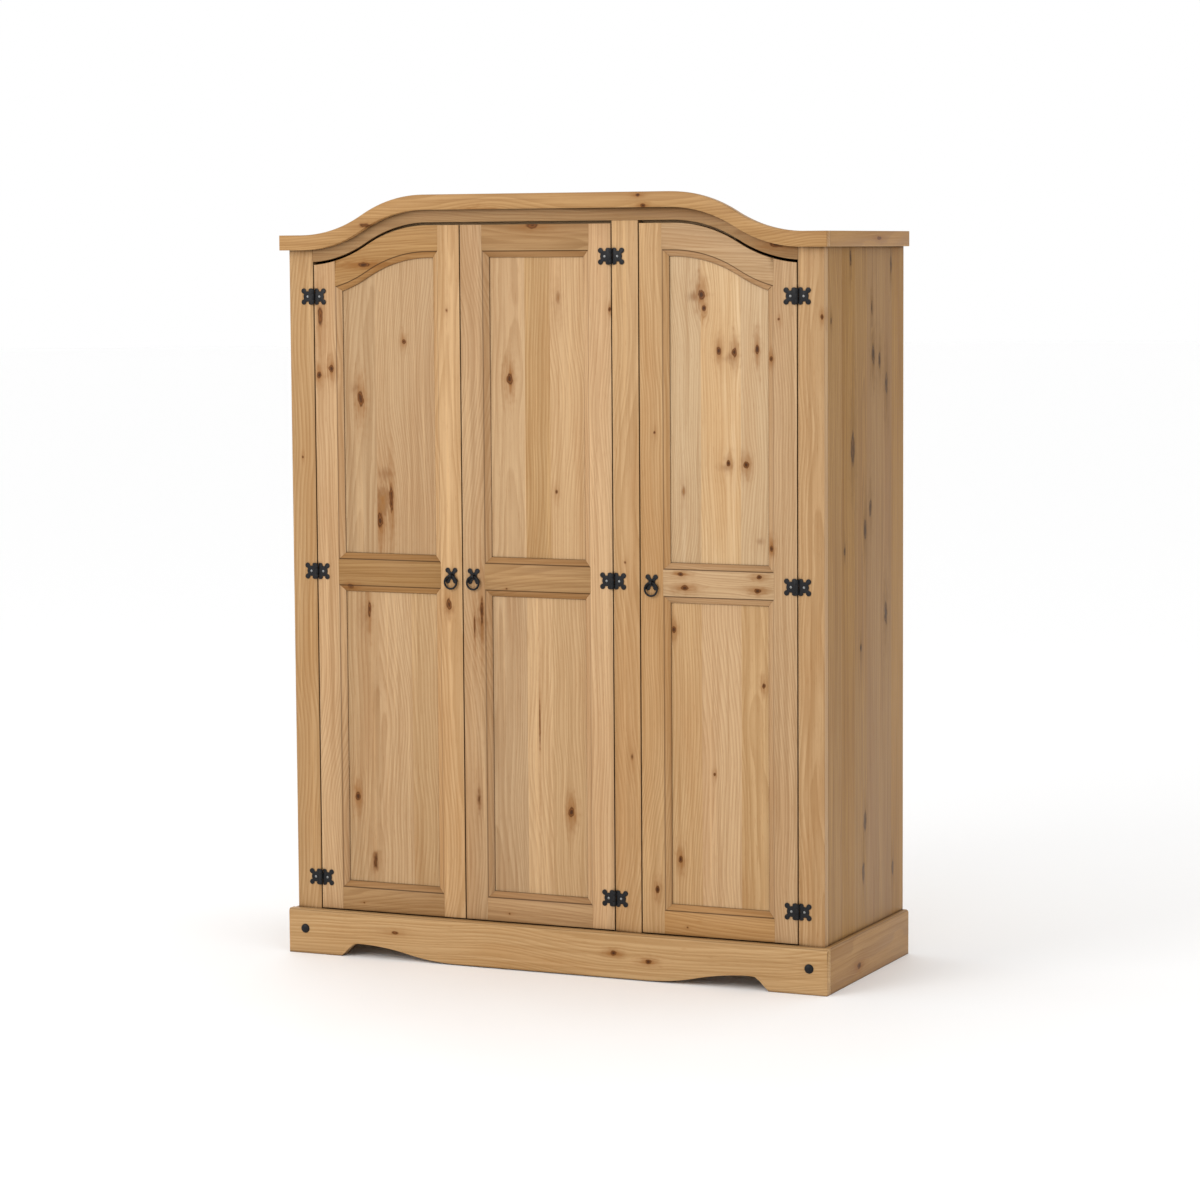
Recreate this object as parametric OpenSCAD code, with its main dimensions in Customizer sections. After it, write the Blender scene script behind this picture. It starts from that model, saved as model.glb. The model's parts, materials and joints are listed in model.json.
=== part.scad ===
// Three-door armoire with an arched cornice, framed doors, butterfly hinges and ring pulls.
// The front faces -Y, the floor is z = 0, and +X is to the right of someone facing the doors.

/* [Carcass] */
// Width over the two side boards
carcass_w = 1420; // [1150:10:1800]
// Depth from the face of the front frame to the back
carcass_d = 546; // [420:2:680]
// Height of the top board's upper face, level with the ends of the cornice
shoulder_h = 1800; // [1450:5:2200]
// Thickness of the side, top, floor, shelf and partition boards
board_t = 18; // [12:1:25]
// Thickness of the back boards
back_t = 9; // [6:0.5:14]
// Width of the frame's outer stiles
stile_w = 66; // [45:1:90]
// Width of the post between the two compartments
post_w = 68; // [45:1:90]
// Height of the frame's bottom rail, behind the plinth
bottom_rail_h = 66; // [40:1:90]
// Height of the floor board's face above the plinth's top edge
floor_step = 12; // [4:1:30]

/* [Arch] */
// Height that the arch rises above its shoulders
arch_rise = 96; // [50:2:130]
// Distance in from the carcass side at which the arch starts to rise
arch_inset = 46; // [20:2:90]
// Horizontal run of each rising curve
arch_run = 339; // [250:1:400]
// Number of straight steps that each rising curve is cut into
arch_steps = 24; // [8:1:40]

/* [Cornice and plinth] */
// Height of the cornice board
cornice_h = 37; // [25:1:60]
// Height of the fascia that shows below the cornice
fascia_h = 30; // [15:1:50]
// Distance from the cornice's top edge down to the top of the frame behind it
frame_set_down = 6; // [0:1:12]
// Distance from the top of the frame down to the top of the stop behind the fascia
head_stop_drop = 30; // [10:2:40]
// Thickness of the front cornice and plinth boards
trim_t = 24; // [15:1:35]
// Thickness of the side cornice and plinth boards
side_trim_t = 15; // [10:1:25]
// Height of the plinth
plinth_h = 112; // [80:1:150]
// Radius along the plinth's top edge
plinth_round = 8; // [3:1:14]
// Width of each foot at the ends of the plinth's underside
foot_w = 149; // [100:1:200]
// Highest point of the scallop beside each foot
scallop_h = 34; // [15:1:60]
// Radius at the top of the scallop, on the foot's side
scallop_r = 24; // [10:1:40]
// Run of the long curve from the scallop down to the middle of the plinth
scallop_run = 282; // [180:2:300]
// Gap between the floor and the middle of the plinth
apron_gap = 2; // [1:0.5:10]
// Distance of each stud from the plinth's end
stud_inset = 46; // [30:1:80]
// Height of the studs
stud_z = 63; // [45:1:75]
// Diameter of the studs' heads
stud_d = 23; // [14:1:30]
// Height of the studs' domes
stud_dome = 5; // [2:0.5:8]

/* [Doors] */
// Thickness of the doors
door_t = 22; // [18:1:32]
// Gap around and between the doors
door_gap = 3; // [2:0.5:5]
// Gap between the doors and the fascia above
door_top_gap = 7; // [4:1:12]
// Gap between the closed doors and the boards behind them
stop_gap = 2; // [1:0.5:4]
// Flat width of the door stiles
door_stile_w = 58; // [45:1:75]
// Flat height of the top rails
top_rail_h = 62; // [45:1:80]
// Flat height of the middle rails
middle_rail_h = 62; // [45:1:90]
// Height of the middle rails' centre line
middle_rail_z = 966; // [700:2:1150]
// Flat height of the bottom rails
bottom_rail_flat = 56; // [40:1:90]
// Width of the chamfer round each panel
chamfer_w = 17; // [8:1:22]
// Step between the chamfer and the panel
quirk = 2; // [0.5:0.5:3]
// Thickness of the door panels
panel_t = 8.8; // [6:0.2:9.4]
// Depth of the grooves that hold the panels
groove_d = 10; // [6:1:14]
// Clearance of the panels in their grooves, on each side
panel_play = 0.1; // [0.05:0.05:0.3]
// Wood left behind the grooves
back_lip = 3; // [2:0.5:6]

/* [Interior] */
// Distance from the top board's upper face down to the hat shelf's upper face
hat_shelf_drop = 200; // [150:5:320]
// Distance from the hat shelf's underside down to the middle of the clothes rail
rail_drop = 60; // [45:1:90]
// Diameter of the clothes rail
rail_d = 25; // [18:1:32]
// Wall of the clothes rail
rail_wall = 1.2; // [0.8:0.1:3]
// Spacing of the shelves in the single compartment
shelf_pitch = 400; // [280:5:440]
// Number of shelves in the single compartment
shelf_count = 3; // [1:1:3]
// Distance that the shelves stand back from the frame
shelf_setback = 12; // [2:1:60]
// Width and height of the shelf battens
cleat = 20; // [12:1:30]
// Gap between the two back boards
back_joint = 0.5; // [0.2:0.1:2]
// Distance between the grooves of the back boards
back_pitch = 96; // [60:2:140]

/* [Ironwork] */
// Distance from the door's ends to the middle of the outer hinges
hinge_inset = 78; // [50:1:140]
// Height of a hinge leaf
leaf_h = 40; // [34:1:60]
// Reach of a hinge leaf from the pin's centre
leaf_reach = 34; // [31:1:50]
// Thickness of the hinge leaves
leaf_t = 1.8; // [1.2:0.1:2.4]
// Radius of the hinge knuckles
knuckle_r = 4; // [3.4:0.1:5]
// Radius of the hinge pins
pin_r = 1.5; // [1:0.1:2]
// Clearance of the door knuckle round the hinge pin
pin_play = 0.05; // [0.02:0.01:0.08]
// Gap between neighbouring knuckles
knuckle_gap = 0.5; // [0.3:0.1:1]
// Height of the door's knuckle
door_knuckle_h = 14; // [8:1:18]
// Width of the pull plates
plate_w = 32; // [28:1:40]
// Height of the pull plates
plate_h = 38; // [32:1:48]
// Thickness of the pull plates
plate_t = 2.2; // [1.5:0.1:4]
// Outer diameter of the pull rings
ring_d = 37; // [30:1:50]
// Diameter of the pull rings' stock
ring_stock = 4.8; // [3:0.2:6]
// Clearance of the ring in its eye
eye_play = 0.8; // [0.5:0.1:1.5]
// Width of the eye that holds the ring
eye_w = 7; // [4:0.5:9]
// Radius of the wood screws' shanks
screw_r = 1.4; // [1:0.1:2]
// Length of the wood screws' shanks below the leaf
screw_l = 13; // [8:1:16]

/* [Hidden] */
$fn = 64;

// Colours
pine = [0.76, 0.60, 0.42];
pine_rail = [0.68, 0.52, 0.35];
pine_panel = [0.80, 0.65, 0.47];
pine_back = [0.72, 0.58, 0.41];
iron = [0.10, 0.10, 0.11];
steel = [0.72, 0.72, 0.70];
brown_plastic = [0.35, 0.22, 0.12];

// Overlap of a cutter past the face that it cuts
over = 1;

// Depths, measured from the face of the front frame, which lies at face_y
frame_t = door_t + stop_gap;
face_y = -(carcass_d - stud_dome - trim_t) / 2;
inner_back_y = carcass_d - back_t;

// Heights
top_under = shoulder_h - board_t;
floor_top = plinth_h + floor_step;
floor_under = floor_top - board_t;
frame_top = shoulder_h - frame_set_down;
fascia_under = shoulder_h - cornice_h - fascia_h;
door_bottom = plinth_h + door_gap;
door_top = fascia_under - door_top_gap;

// Widths: two doors close the left compartment and one closes the right
half_w = carcass_w / 2;
opening_left = -half_w + stile_w;
opening_right = half_w - stile_w;
door_w = (opening_right - opening_left - post_w - 5 * door_gap) / 3;
post_left = opening_left + 2 * door_w + 3 * door_gap;
post_right = post_left + post_w;
partition_x = (post_left + post_right) / 2;
inner_w = carcass_w - 2 * board_t;
trim_half_w = half_w + side_trim_t;

// Plinth
stud_shank_r = 3;
stud_end_wood = 4;
apron_step = 12;

// Arch
arch_foot_x = half_w - arch_inset;
arch_flat_x = arch_foot_x - arch_run;
arch_side_xs = [for (i = [0 : arch_steps]) arch_flat_x + arch_run * i / arch_steps];
arch_xs = concat([for (i = [arch_steps : -1 : 0]) -arch_side_xs[i]], arch_side_xs);

// Doors: which one, the x of its hinge edge, and the way from its hinges to its lock
LEFT = 0;
MIDDLE = 1;
RIGHT = 2;
hinge_edge = [opening_left + door_gap, post_left - door_gap, opening_right - door_gap];
reach_way = [1, -1, -1];

// Door sections, with v the depth behind the door's face, and grooves set out in whole eighths
groove_w = panel_t + 2 * panel_play;
eighths = 8;
panel_v = floor((door_t - back_lip - groove_w) * eighths) / eighths;
chamfer_d = panel_v - quirk;
moulded_w = door_stile_w + chamfer_w;
rail_end = door_stile_w - over;
lock_u = door_w - door_stile_w / 2;
panel_bite = groove_d - 1;
bottom_rail_top = door_bottom + bottom_rail_flat;
middle_rail_top = middle_rail_z + middle_rail_h / 2;
middle_rail_under = middle_rail_z - middle_rail_h / 2;

// Hinges, with u measured from the door's hinge edge towards its lock
knuckle_lift = 0.2;
tab_gap = 0.6;
knuckle_inset = 2;
pin_u = -door_gap / 2;
pin_v = -knuckle_r - knuckle_lift;
pin_head_h = 1.2;
pin_head_r = 2.6;
tab_w = knuckle_r + tab_gap;
leaf_screw_u = 16.5;
knuckle_top = leaf_h / 2 - knuckle_inset;
screw_head_r = 3.2;
screw_head_h = 1.4;
screw_head_taper = 1;
door_knuckles = [[-door_knuckle_h / 2, door_knuckle_h / 2]];
frame_knuckles = [
    [door_knuckle_h / 2 + knuckle_gap, knuckle_top],
    [-knuckle_top, -door_knuckle_h / 2 - knuckle_gap]
];

// Pulls
ring_r = ring_stock / 2;
ring_mean_r = (ring_d - ring_stock) / 2;
eye_bore_r = ring_r + eye_play;
eye_wall = 1.8;
eye_sink = 0.6;
eye_r = eye_bore_r + eye_wall;
eye_v = -plate_t - eye_r + eye_sink;
bolt_r = 2.5;
nut_t = 3;

// Catches
catch_size = [46, 22, 15];
strike_size = [40, 1.5, 13];
catch_z = top_under - catch_size[2] / 2;
strike_screw_l = 10;

// Clothes rail
rail_z = shoulder_h - hat_shelf_drop - board_t - rail_drop;
rail_y = (frame_t + inner_back_y) / 2;
socket_flange_t = 3;
socket_depth = 14;
socket_play = 0.2;
socket_wall = 2.5;

// Two equal tangent arcs that climb `rise` over `run`, at the distance t from the low end
function ogee(t, run, rise) =
    let (
        r = (run * run + rise * rise) / (4 * rise),
        c = min(max(t, 0), run)
    )
    c < run / 2
        ? r - sqrt(r * r - c * c)
        : rise - r + sqrt(r * r - (run - c) * (run - c));

// Height of the arch above its shoulders at x, on the straight steps between the arch's points
function arch(x) =
    let (
        t = min(max((arch_foot_x - abs(x)) / arch_run * arch_steps, 0), arch_steps),
        i = min(floor(t), arch_steps - 1),
        low = ogee(arch_run * i / arch_steps, arch_run, arch_rise),
        high = ogee(arch_run * (i + 1) / arch_steps, arch_run, arch_rise)
    )
    low + (t - i) * (high - low);

// The x values from a to b at which an arched outline has a point
function arch_stations(a, b) =
    concat([a], [for (x = arch_xs) if (x > a + over && x < b - over) x], [b]);

// Underside of the plinth at x
function apron(x) =
    let (
        foot_x = trim_half_w - foot_w,
        slope_top = scallop_h - scallop_r * (1 - cos(45)),
        arc_x = foot_x - slope_top,
        peak_x = arc_x - scallop_r * sin(45),
        a = abs(x)
    )
    a >= foot_x ? 0
    : a >= arc_x ? foot_x - a
    : a >= peak_x ? scallop_h - scallop_r + sqrt(scallop_r * scallop_r - (a - peak_x) * (a - peak_x))
    : apron_gap + ogee(a - peak_x + scallop_run, scallop_run, scallop_h - apron_gap);

// Height of the top line of a door at u from its hinge edge
function door_line(d, u) = door_top + arch(hinge_edge[d] + reach_way[d] * u);

// The u values from a to b at which a door's arched outline has a point
function door_stations(d, a, b) =
    let (xs = arch_stations(
        min(hinge_edge[d] + reach_way[d] * a, hinge_edge[d] + reach_way[d] * b),
        max(hinge_edge[d] + reach_way[d] * a, hinge_edge[d] + reach_way[d] * b)))
    [for (i = [0 : len(xs) - 1])
        reach_way[d] * (xs[reach_way[d] > 0 ? i : len(xs) - 1 - i] - hinge_edge[d])];

// Heights of a door's hinges
function hinge_zs(d) = [door_bottom + hinge_inset, middle_rail_z, door_line(d, 0) - hinge_inset];

// A box between two corners, in the frame whose y = 0 is the face of the carcass
module board(low, high) {
    translate([0, face_y, 0] + low)
        cube(high - low);
}

// An outline in x and z, cut from a board of thickness t whose front is at y
module cut_board(y, t) {
    translate([0, face_y + y + t, 0])
        rotate([90, 0, 0])
            linear_extrude(t)
                children();
}

// A section in y and z, run along x from a to b
module run_section(a, b) {
    translate([a, face_y, 0])
        rotate([90, 0, 90])
            linear_extrude(b - a)
                children();
}

// The strip between two heights above the arch's shoulders
module arched_strip(a, b, low, high) {
    xs = arch_stations(a, b);
    n = len(xs) - 1;
    polygon(concat(
        [for (x = xs) [x, low + arch(x)]],
        [for (i = [n : -1 : 0]) [xs[i], high + arch(xs[i])]]));
}

// ---------------------------------------------------------------- Carcass

module side_board(way) {
    inner = way < 0 ? -half_w : half_w - board_t;
    color(pine)
        board([inner, frame_t, 0], [inner + board_t, carcass_d, top_under]);
}

// Pilot holes for the fixed hinge leaves of one door
module frame_pilots(d) {
    for (z = hinge_zs(d))
        on_door(d)
            translate([pin_u - leaf_screw_u, 0, z])
                screw_hole();
}

module frame_stile(way) {
    outer = way < 0 ? -half_w : half_w - stile_w;
    color(pine)
        difference() {
            board([outer, 0, 0], [outer + stile_w, frame_t, frame_top]);
            frame_pilots(way < 0 ? LEFT : RIGHT);
        }
}

module centre_post() {
    color(pine)
        difference() {
            cut_board(0, frame_t)
                polygon([[post_left, plinth_h], [post_right, plinth_h],
                    [post_right, fascia_under + arch(post_right)],
                    [post_left, fascia_under + arch(post_left)]]);
            frame_pilots(MIDDLE);
        }
}

module bottom_rail() {
    color(pine)
        board([opening_left, 0, plinth_h - bottom_rail_h], [opening_right, frame_t, plinth_h]);
}

module fascia() {
    color(pine_rail)
        cut_board(0, frame_t)
            arched_strip(opening_left, opening_right, fascia_under, frame_top);
}

// Stop behind the fascia, which closes the gap over the doors above the top board
module head_stop() {
    color(pine_back)
        cut_board(frame_t, board_t)
            intersection() {
                arched_strip(-arch_foot_x, arch_foot_x, top_under - arch_rise, frame_top - head_stop_drop);
                translate([-half_w, shoulder_h])
                    square([carcass_w, arch_rise]);
            }
}

module cornice_front() {
    color(pine)
        cut_board(-trim_t, trim_t)
            arched_strip(-trim_half_w, trim_half_w, shoulder_h - cornice_h, shoulder_h);
}

module cornice_sides() {
    color(pine)
        for (x = [-trim_half_w, half_w])
            board([x, 0, shoulder_h - cornice_h], [x + side_trim_t, carcass_d, shoulder_h]);
}

// Section of a plinth board of thickness t, with its front top edge rounded
module plinth_section(t) {
    intersection() {
        translate([-t, 0])
            square([t, plinth_h]);
        union() {
            translate([-t, 0])
                square([t, plinth_h - plinth_round]);
            translate([-t + plinth_round, 0])
                square([t, plinth_h]);
            translate([-t + plinth_round, plinth_h - plinth_round])
                circle(plinth_round);
        }
    }
}

module plinth_front() {
    curve_end = trim_half_w - foot_w;
    n = floor(2 * curve_end / apron_step);
    xs = [for (i = [0 : n]) -curve_end + 2 * curve_end * i / n];
    color(pine_rail)
        difference() {
            intersection() {
                run_section(-trim_half_w, trim_half_w)
                    plinth_section(trim_t);
                cut_board(-trim_t, trim_t)
                    polygon(concat(
                        [[-trim_half_w, 0]],
                        [for (x = xs) [x, apron(x)]],
                        [[trim_half_w, 0], [trim_half_w, plinth_h], [-trim_half_w, plinth_h]]));
            }
            for (way = [-1, 1])
                translate([way * (trim_half_w - stud_inset), face_y - trim_t, stud_z])
                    stud_shank();
        }
}

module plinth_sides() {
    color(pine_rail)
        for (way = [0, 1])
            mirror([way, 0, 0])
                translate([half_w, face_y + carcass_d, 0])
                    rotate([90, 0, 0])
                        linear_extrude(carcass_d)
                            mirror([1, 0])
                                plinth_section(side_trim_t);
}

module stud_shank() {
    rotate([-90, 0, 0])
        cylinder(h = trim_t - stud_end_wood, r = stud_shank_r);
}

module plinth_studs() {
    dome_r = (stud_d * stud_d / 4 + stud_dome * stud_dome) / (2 * stud_dome);
    color(iron)
        for (way = [-1, 1])
            translate([way * (trim_half_w - stud_inset), face_y - trim_t, stud_z]) {
                rotate([90, 0, 0])
                    intersection() {
                        translate([0, 0, stud_dome - dome_r])
                            sphere(dome_r);
                        cylinder(h = stud_dome, r = stud_d / 2);
                    }
                stud_shank();
            }
}

module top_board() {
    color(pine)
        board([-half_w, frame_t, top_under], [half_w, carcass_d, shoulder_h]);
}

module floor_board() {
    color(pine)
        board([-inner_w / 2, frame_t, floor_under], [inner_w / 2, inner_back_y, floor_top]);
}

// One bearer under the partition, and one under the middle of the double compartment
module floor_bearers() {
    color(pine_back)
        for (x = [partition_x, (post_left - half_w) / 2])
            board([x - board_t / 2, frame_t, 0], [x + board_t / 2, inner_back_y, floor_under]);
}

module partition() {
    color(pine)
        board([partition_x - board_t / 2, frame_t, floor_top],
            [partition_x + board_t / 2, inner_back_y, top_under]);
}

// A back board from a to b, with V grooves on its rear face
module back_board(a, b) {
    groove = 2;
    n = floor((b - a) / back_pitch);
    difference() {
        board([a, inner_back_y, floor_under - cleat], [b, carcass_d, top_under]);
        for (i = [1 : n])
            translate([a + (b - a) * i / (n + 1), face_y + carcass_d, 0])
                rotate([0, 0, 45])
                    translate([-groove / 2, -groove / 2, 0])
                        cube([groove, groove, shoulder_h]);
    }
}

// One back board behind each compartment, with a joint behind the partition
module back_boards() {
    color(pine_back) {
        back_board(-inner_w / 2, partition_x - back_joint / 2);
        back_board(partition_x + back_joint / 2, inner_w / 2);
    }
}

module top_shelf() {
    z = shoulder_h - hat_shelf_drop;
    color(pine)
        board([-inner_w / 2, frame_t + shelf_setback, z - board_t],
            [partition_x - board_t / 2, inner_back_y, z]);
}

module bay_shelves() {
    color(pine)
        for (i = [1 : shelf_count])
            board([partition_x + board_t / 2, frame_t + shelf_setback, floor_top + i * shelf_pitch - board_t],
                [inner_w / 2, inner_back_y, floor_top + i * shelf_pitch]);
}

// Two battens under a shelf whose underside is at z, between the boards at a and b
module cleat_pair(a, b, z) {
    front = frame_t + shelf_setback + cleat;
    for (x = [a, b - cleat])
        board([x, front, z - cleat], [x + cleat, inner_back_y, z]);
}

module shelf_cleats() {
    color(pine_back) {
        cleat_pair(-inner_w / 2, partition_x - board_t / 2, shoulder_h - hat_shelf_drop - board_t);
        for (i = [1 : shelf_count])
            cleat_pair(partition_x + board_t / 2, inner_w / 2, floor_top + i * shelf_pitch - board_t);
    }
}

// Places its children at one end of the clothes rail, with +Z towards the rail's middle
module at_rail_end(way) {
    x = way < 0 ? -inner_w / 2 : partition_x - board_t / 2;
    translate([x, face_y + rail_y, rail_z])
        rotate([0, way < 0 ? 90 : -90, 0])
            children();
}

module hanging_rail() {
    bay = partition_x - board_t / 2 + inner_w / 2;
    color(steel)
        at_rail_end(-1)
            translate([0, 0, socket_flange_t])
                difference() {
                    cylinder(h = bay - 2 * socket_flange_t, r = rail_d / 2);
                    translate([0, 0, -over])
                        cylinder(h = bay, r = rail_d / 2 - rail_wall);
                }
}

module rail_sockets() {
    bore = rail_d / 2 + socket_play;
    color(steel)
        for (way = [-1, 1])
            at_rail_end(way)
                difference() {
                    union() {
                        cylinder(h = socket_flange_t, r = bore + 3 * socket_wall);
                        cylinder(h = socket_flange_t + socket_depth, r = bore + socket_wall);
                    }
                    translate([0, 0, socket_flange_t])
                        cylinder(h = socket_depth + over, r = bore);
                }
}

module door_catches() {
    color(brown_plastic)
        for (d = [LEFT, MIDDLE, RIGHT])
            on_door(d)
                translate([lock_u - catch_size[0] / 2, frame_t, top_under - catch_size[2]])
                    cube(catch_size);
}

// ---------------------------------------------------------------- Doors

// Places its children on a door: x from the hinge edge to the lock, y from the face inwards
module on_door(d) {
    translate([hinge_edge[d], face_y, 0])
        if (reach_way[d] > 0)
            children();
        else
            mirror([1, 0, 0])
                children();
}

// The door's outline between a and b, from a height up to a line below the top line
module door_outline(d, a, b, low, drop) {
    us = door_stations(d, a, b);
    polygon(concat(
        [[a, low]],
        [[b, low]],
        [for (i = [len(us) - 1 : -1 : 0]) [us[i], door_line(d, us[i]) - drop]]));
}

module cut_door_board(v, t) {
    translate([0, v + t, 0])
        rotate([90, 0, 0])
            linear_extrude(t)
                children();
}

// Plan section of a stile whose outer edge is at 0, with its faces moved out by `extra`
module stile_section(extra) {
    polygon([
        [0, -extra],
        [door_stile_w, -extra],
        [door_stile_w, 0],
        [moulded_w, chamfer_d],
        [moulded_w, panel_v],
        [moulded_w - groove_d, panel_v],
        [moulded_w - groove_d, panel_v + groove_w],
        [moulded_w, panel_v + groove_w],
        [moulded_w, door_t + extra],
        [0, door_t + extra]
    ]);
}

// The hinge stile's moulded bar, before its ends are cut
module hinge_stile_bar(extra = 0) {
    linear_extrude(shoulder_h + arch_rise)
        stile_section(extra);
}

// The lock stile's moulded bar, before its ends are cut
module lock_stile_bar(extra = 0) {
    linear_extrude(shoulder_h + arch_rise)
        translate([door_w, 0])
            mirror([1, 0])
                stile_section(extra);
}

module door_hinge_stile(d) {
    color(pine)
        on_door(d)
            difference() {
                intersection() {
                    hinge_stile_bar();
                    cut_door_board(0, door_t)
                        door_outline(d, 0, moulded_w, door_bottom, 0);
                }
                for (z = hinge_zs(d))
                    translate([pin_u + leaf_screw_u, 0, z])
                        screw_hole();
            }
}

module door_lock_stile(d) {
    color(pine)
        on_door(d)
            difference() {
                intersection() {
                    lock_stile_bar();
                    cut_door_board(0, door_t)
                        door_outline(d, door_w - moulded_w, door_w, door_bottom, 0);
                }
                translate([lock_u, -over, middle_rail_z])
                    rotate([-90, 0, 0])
                        cylinder(h = door_t + 2 * over, r = bolt_r);
                translate([lock_u, door_t, catch_z])
                    strike_screw_shank();
            }
}

// Section in y and z of a rail's moulded edge: flat up to `flat`, chamfered and grooved beyond it
function rail_edge(flat, way) = [
    [0, flat],
    [chamfer_d, flat + way * chamfer_w],
    [panel_v, flat + way * chamfer_w],
    [panel_v, flat + way * (chamfer_w - groove_d)],
    [panel_v + groove_w, flat + way * (chamfer_w - groove_d)],
    [panel_v + groove_w, flat + way * chamfer_w],
    [door_t, flat + way * chamfer_w]
];

function reversed(list) = [for (i = [len(list) - 1 : -1 : 0]) list[i]];

// A rail whose overlong ends are coped over the mouldings of both stiles
module coped_rail() {
    difference() {
        children();
        hinge_stile_bar(over);
        lock_stile_bar(over);
    }
}

// A straight rail's section, run across the door
module rail_bar() {
    translate([rail_end, 0, 0])
        rotate([90, 0, 90])
            linear_extrude(door_w - 2 * rail_end)
                children();
}

module door_middle_rail(d) {
    color(pine_rail)
        on_door(d)
            coped_rail()
                rail_bar()
                    polygon(concat(
                        rail_edge(middle_rail_top, 1),
                        reversed(rail_edge(middle_rail_under, -1))));
}

module door_bottom_rail(d) {
    color(pine_rail)
        on_door(d)
            coped_rail()
                rail_bar()
                    polygon(concat(
                        rail_edge(bottom_rail_top, 1),
                        [[door_t, door_bottom], [0, door_bottom]]));
}

// Section of a top rail in y and z, with z measured from the door's top line
function top_rail_section() = concat(rail_edge(-top_rail_h, -1), [[door_t, 0]], [[0, 0]]);

// The top rail's section, carried along the door's top line
module top_rail_bar(d) {
    us = door_stations(d, rail_end, door_w - rail_end);
    section = top_rail_section();
    m = len(section);
    last = m * (len(us) - 1);
    polyhedron(
        [for (u = us, p = section) [u, p[0], door_line(d, u) + p[1]]],
        concat(
            [[for (k = [0 : m - 1]) k]],
            [[for (k = [0 : m - 1]) last + m - 1 - k]],
            [for (i = [0 : m : last - m], k = [0 : m - 1])
                [i + k, i + m + k, i + m + (k + 1) % m, i + (k + 1) % m]]));
}

module door_top_rail(d) {
    color(pine_rail)
        on_door(d)
            coped_rail()
                top_rail_bar(d);
}

// A panel from a height up to a line below the door's top line
module door_upper_panel(d) {
    edge = moulded_w - panel_bite;
    color(pine_panel)
        on_door(d)
            cut_door_board(panel_v + panel_play, panel_t)
                door_outline(d, edge, door_w - edge,
                    middle_rail_top + chamfer_w - panel_bite,
                    top_rail_h + chamfer_w - panel_bite);
}

module door_lower_panel(d) {
    edge = moulded_w - panel_bite;
    low = bottom_rail_top + chamfer_w - panel_bite;
    high = middle_rail_under - chamfer_w + panel_bite;
    color(pine_panel)
        on_door(d)
            translate([edge, panel_v + panel_play, low])
                cube([door_w - 2 * edge, panel_t, high - low]);
}

// ---------------------------------------------------------------- Hinges

// Outline of a butterfly leaf in u and z, from beside the knuckles out to two lobes
module leaf_outline() {
    bar_end = 9.5;
    disc_u = 15.5;
    disc_r = 12.8;
    lobe_r = 6.3;
    lobe_u = leaf_reach - lobe_r;
    lobe_z = leaf_h / 2 - lobe_r;
    corner_r = 4.5;
    translate([tab_w, -leaf_h / 2])
        square([bar_end - tab_w, leaf_h]);
    intersection() {
        translate([tab_w, -leaf_h / 2])
            square([leaf_reach, leaf_h]);
        union() {
            translate([disc_u, 0])
                circle(disc_r);
            for (way = [-1, 1]) {
                translate([bar_end, way * (leaf_h / 2 - corner_r)])
                    circle(corner_r);
                translate([lobe_u, way * lobe_z])
                    circle(lobe_r);
                translate([disc_u, 0])
                    rotate(atan2(way * lobe_z, lobe_u - disc_u))
                        translate([0, -corner_r])
                            square([norm([lobe_z, lobe_u - disc_u]), 2 * corner_r]);
            }
        }
    }
}

// A flat leaf on the wood's face, with a knuckle on each stretch of height in `knuckles`
module hinge_leaf(way, knuckles, bore_r) {
    difference() {
        union() {
            mirror([way < 0 ? 1 : 0, 0, 0])
                difference() {
                    union() {
                        cut_door_board(-leaf_t, leaf_t)
                            leaf_outline();
                        for (k = knuckles)
                            translate([0, -leaf_t, k[0]])
                                cube([tab_w + over, leaf_t - knuckle_lift, k[1] - k[0]]);
                    }
                    translate([leaf_screw_u, -leaf_t - over, 0])
                        rotate([-90, 0, 0])
                            cylinder(h = leaf_t + 2 * over, r = screw_r);
                }
            for (k = knuckles)
                translate([0, pin_v, k[0]])
                    cylinder(h = k[1] - k[0], r = knuckle_r);
        }
        translate([0, pin_v, -leaf_h])
            cylinder(h = 2 * leaf_h, r = bore_r);
    }
}

// Places its children at each hinge pin of a door
module at_hinges(d) {
    on_door(d)
        for (z = hinge_zs(d))
            translate([pin_u, 0, z])
                children();
}

module door_hinge_leaves(d) {
    color(iron)
        at_hinges(d)
            hinge_leaf(1, door_knuckles, pin_r + pin_play);
}

module frame_hinge_leaves() {
    color(iron)
        for (d = [LEFT, MIDDLE, RIGHT])
            at_hinges(d)
                hinge_leaf(-1, frame_knuckles, pin_r);
}

module hinge_pins() {
    color(iron)
        for (d = [LEFT, MIDDLE, RIGHT])
            at_hinges(d)
                translate([0, pin_v, 0]) {
                    cylinder(h = 2 * knuckle_top, r = pin_r, center = true);
                    for (z = [-knuckle_top - pin_head_h, knuckle_top])
                        translate([0, 0, z])
                            cylinder(h = pin_head_h, r = pin_head_r);
                }
}

// Pilot hole of a wood screw that enters the wood's face at y = 0
module screw_hole() {
    translate([0, -over, 0])
        rotate([-90, 0, 0])
            cylinder(h = screw_l + over, r = screw_r);
}

// Wood screw with a round slotted head that lies on a leaf
module wood_screw() {
    slot_w = 0.9;
    slot_d = 0.7;
    rotate([-90, 0, 0])
        translate([0, 0, -leaf_t])
            cylinder(h = screw_l + leaf_t, r = screw_r);
    difference() {
        translate([0, -leaf_t, 0])
            rotate([90, 0, 0])
                cylinder(h = screw_head_h, r1 = screw_head_r, r2 = screw_head_r - screw_head_taper);
        translate([-screw_head_r, -leaf_t - screw_head_h - over, -slot_w / 2])
            cube([2 * screw_head_r, slot_d + over, slot_w]);
    }
}

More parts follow.
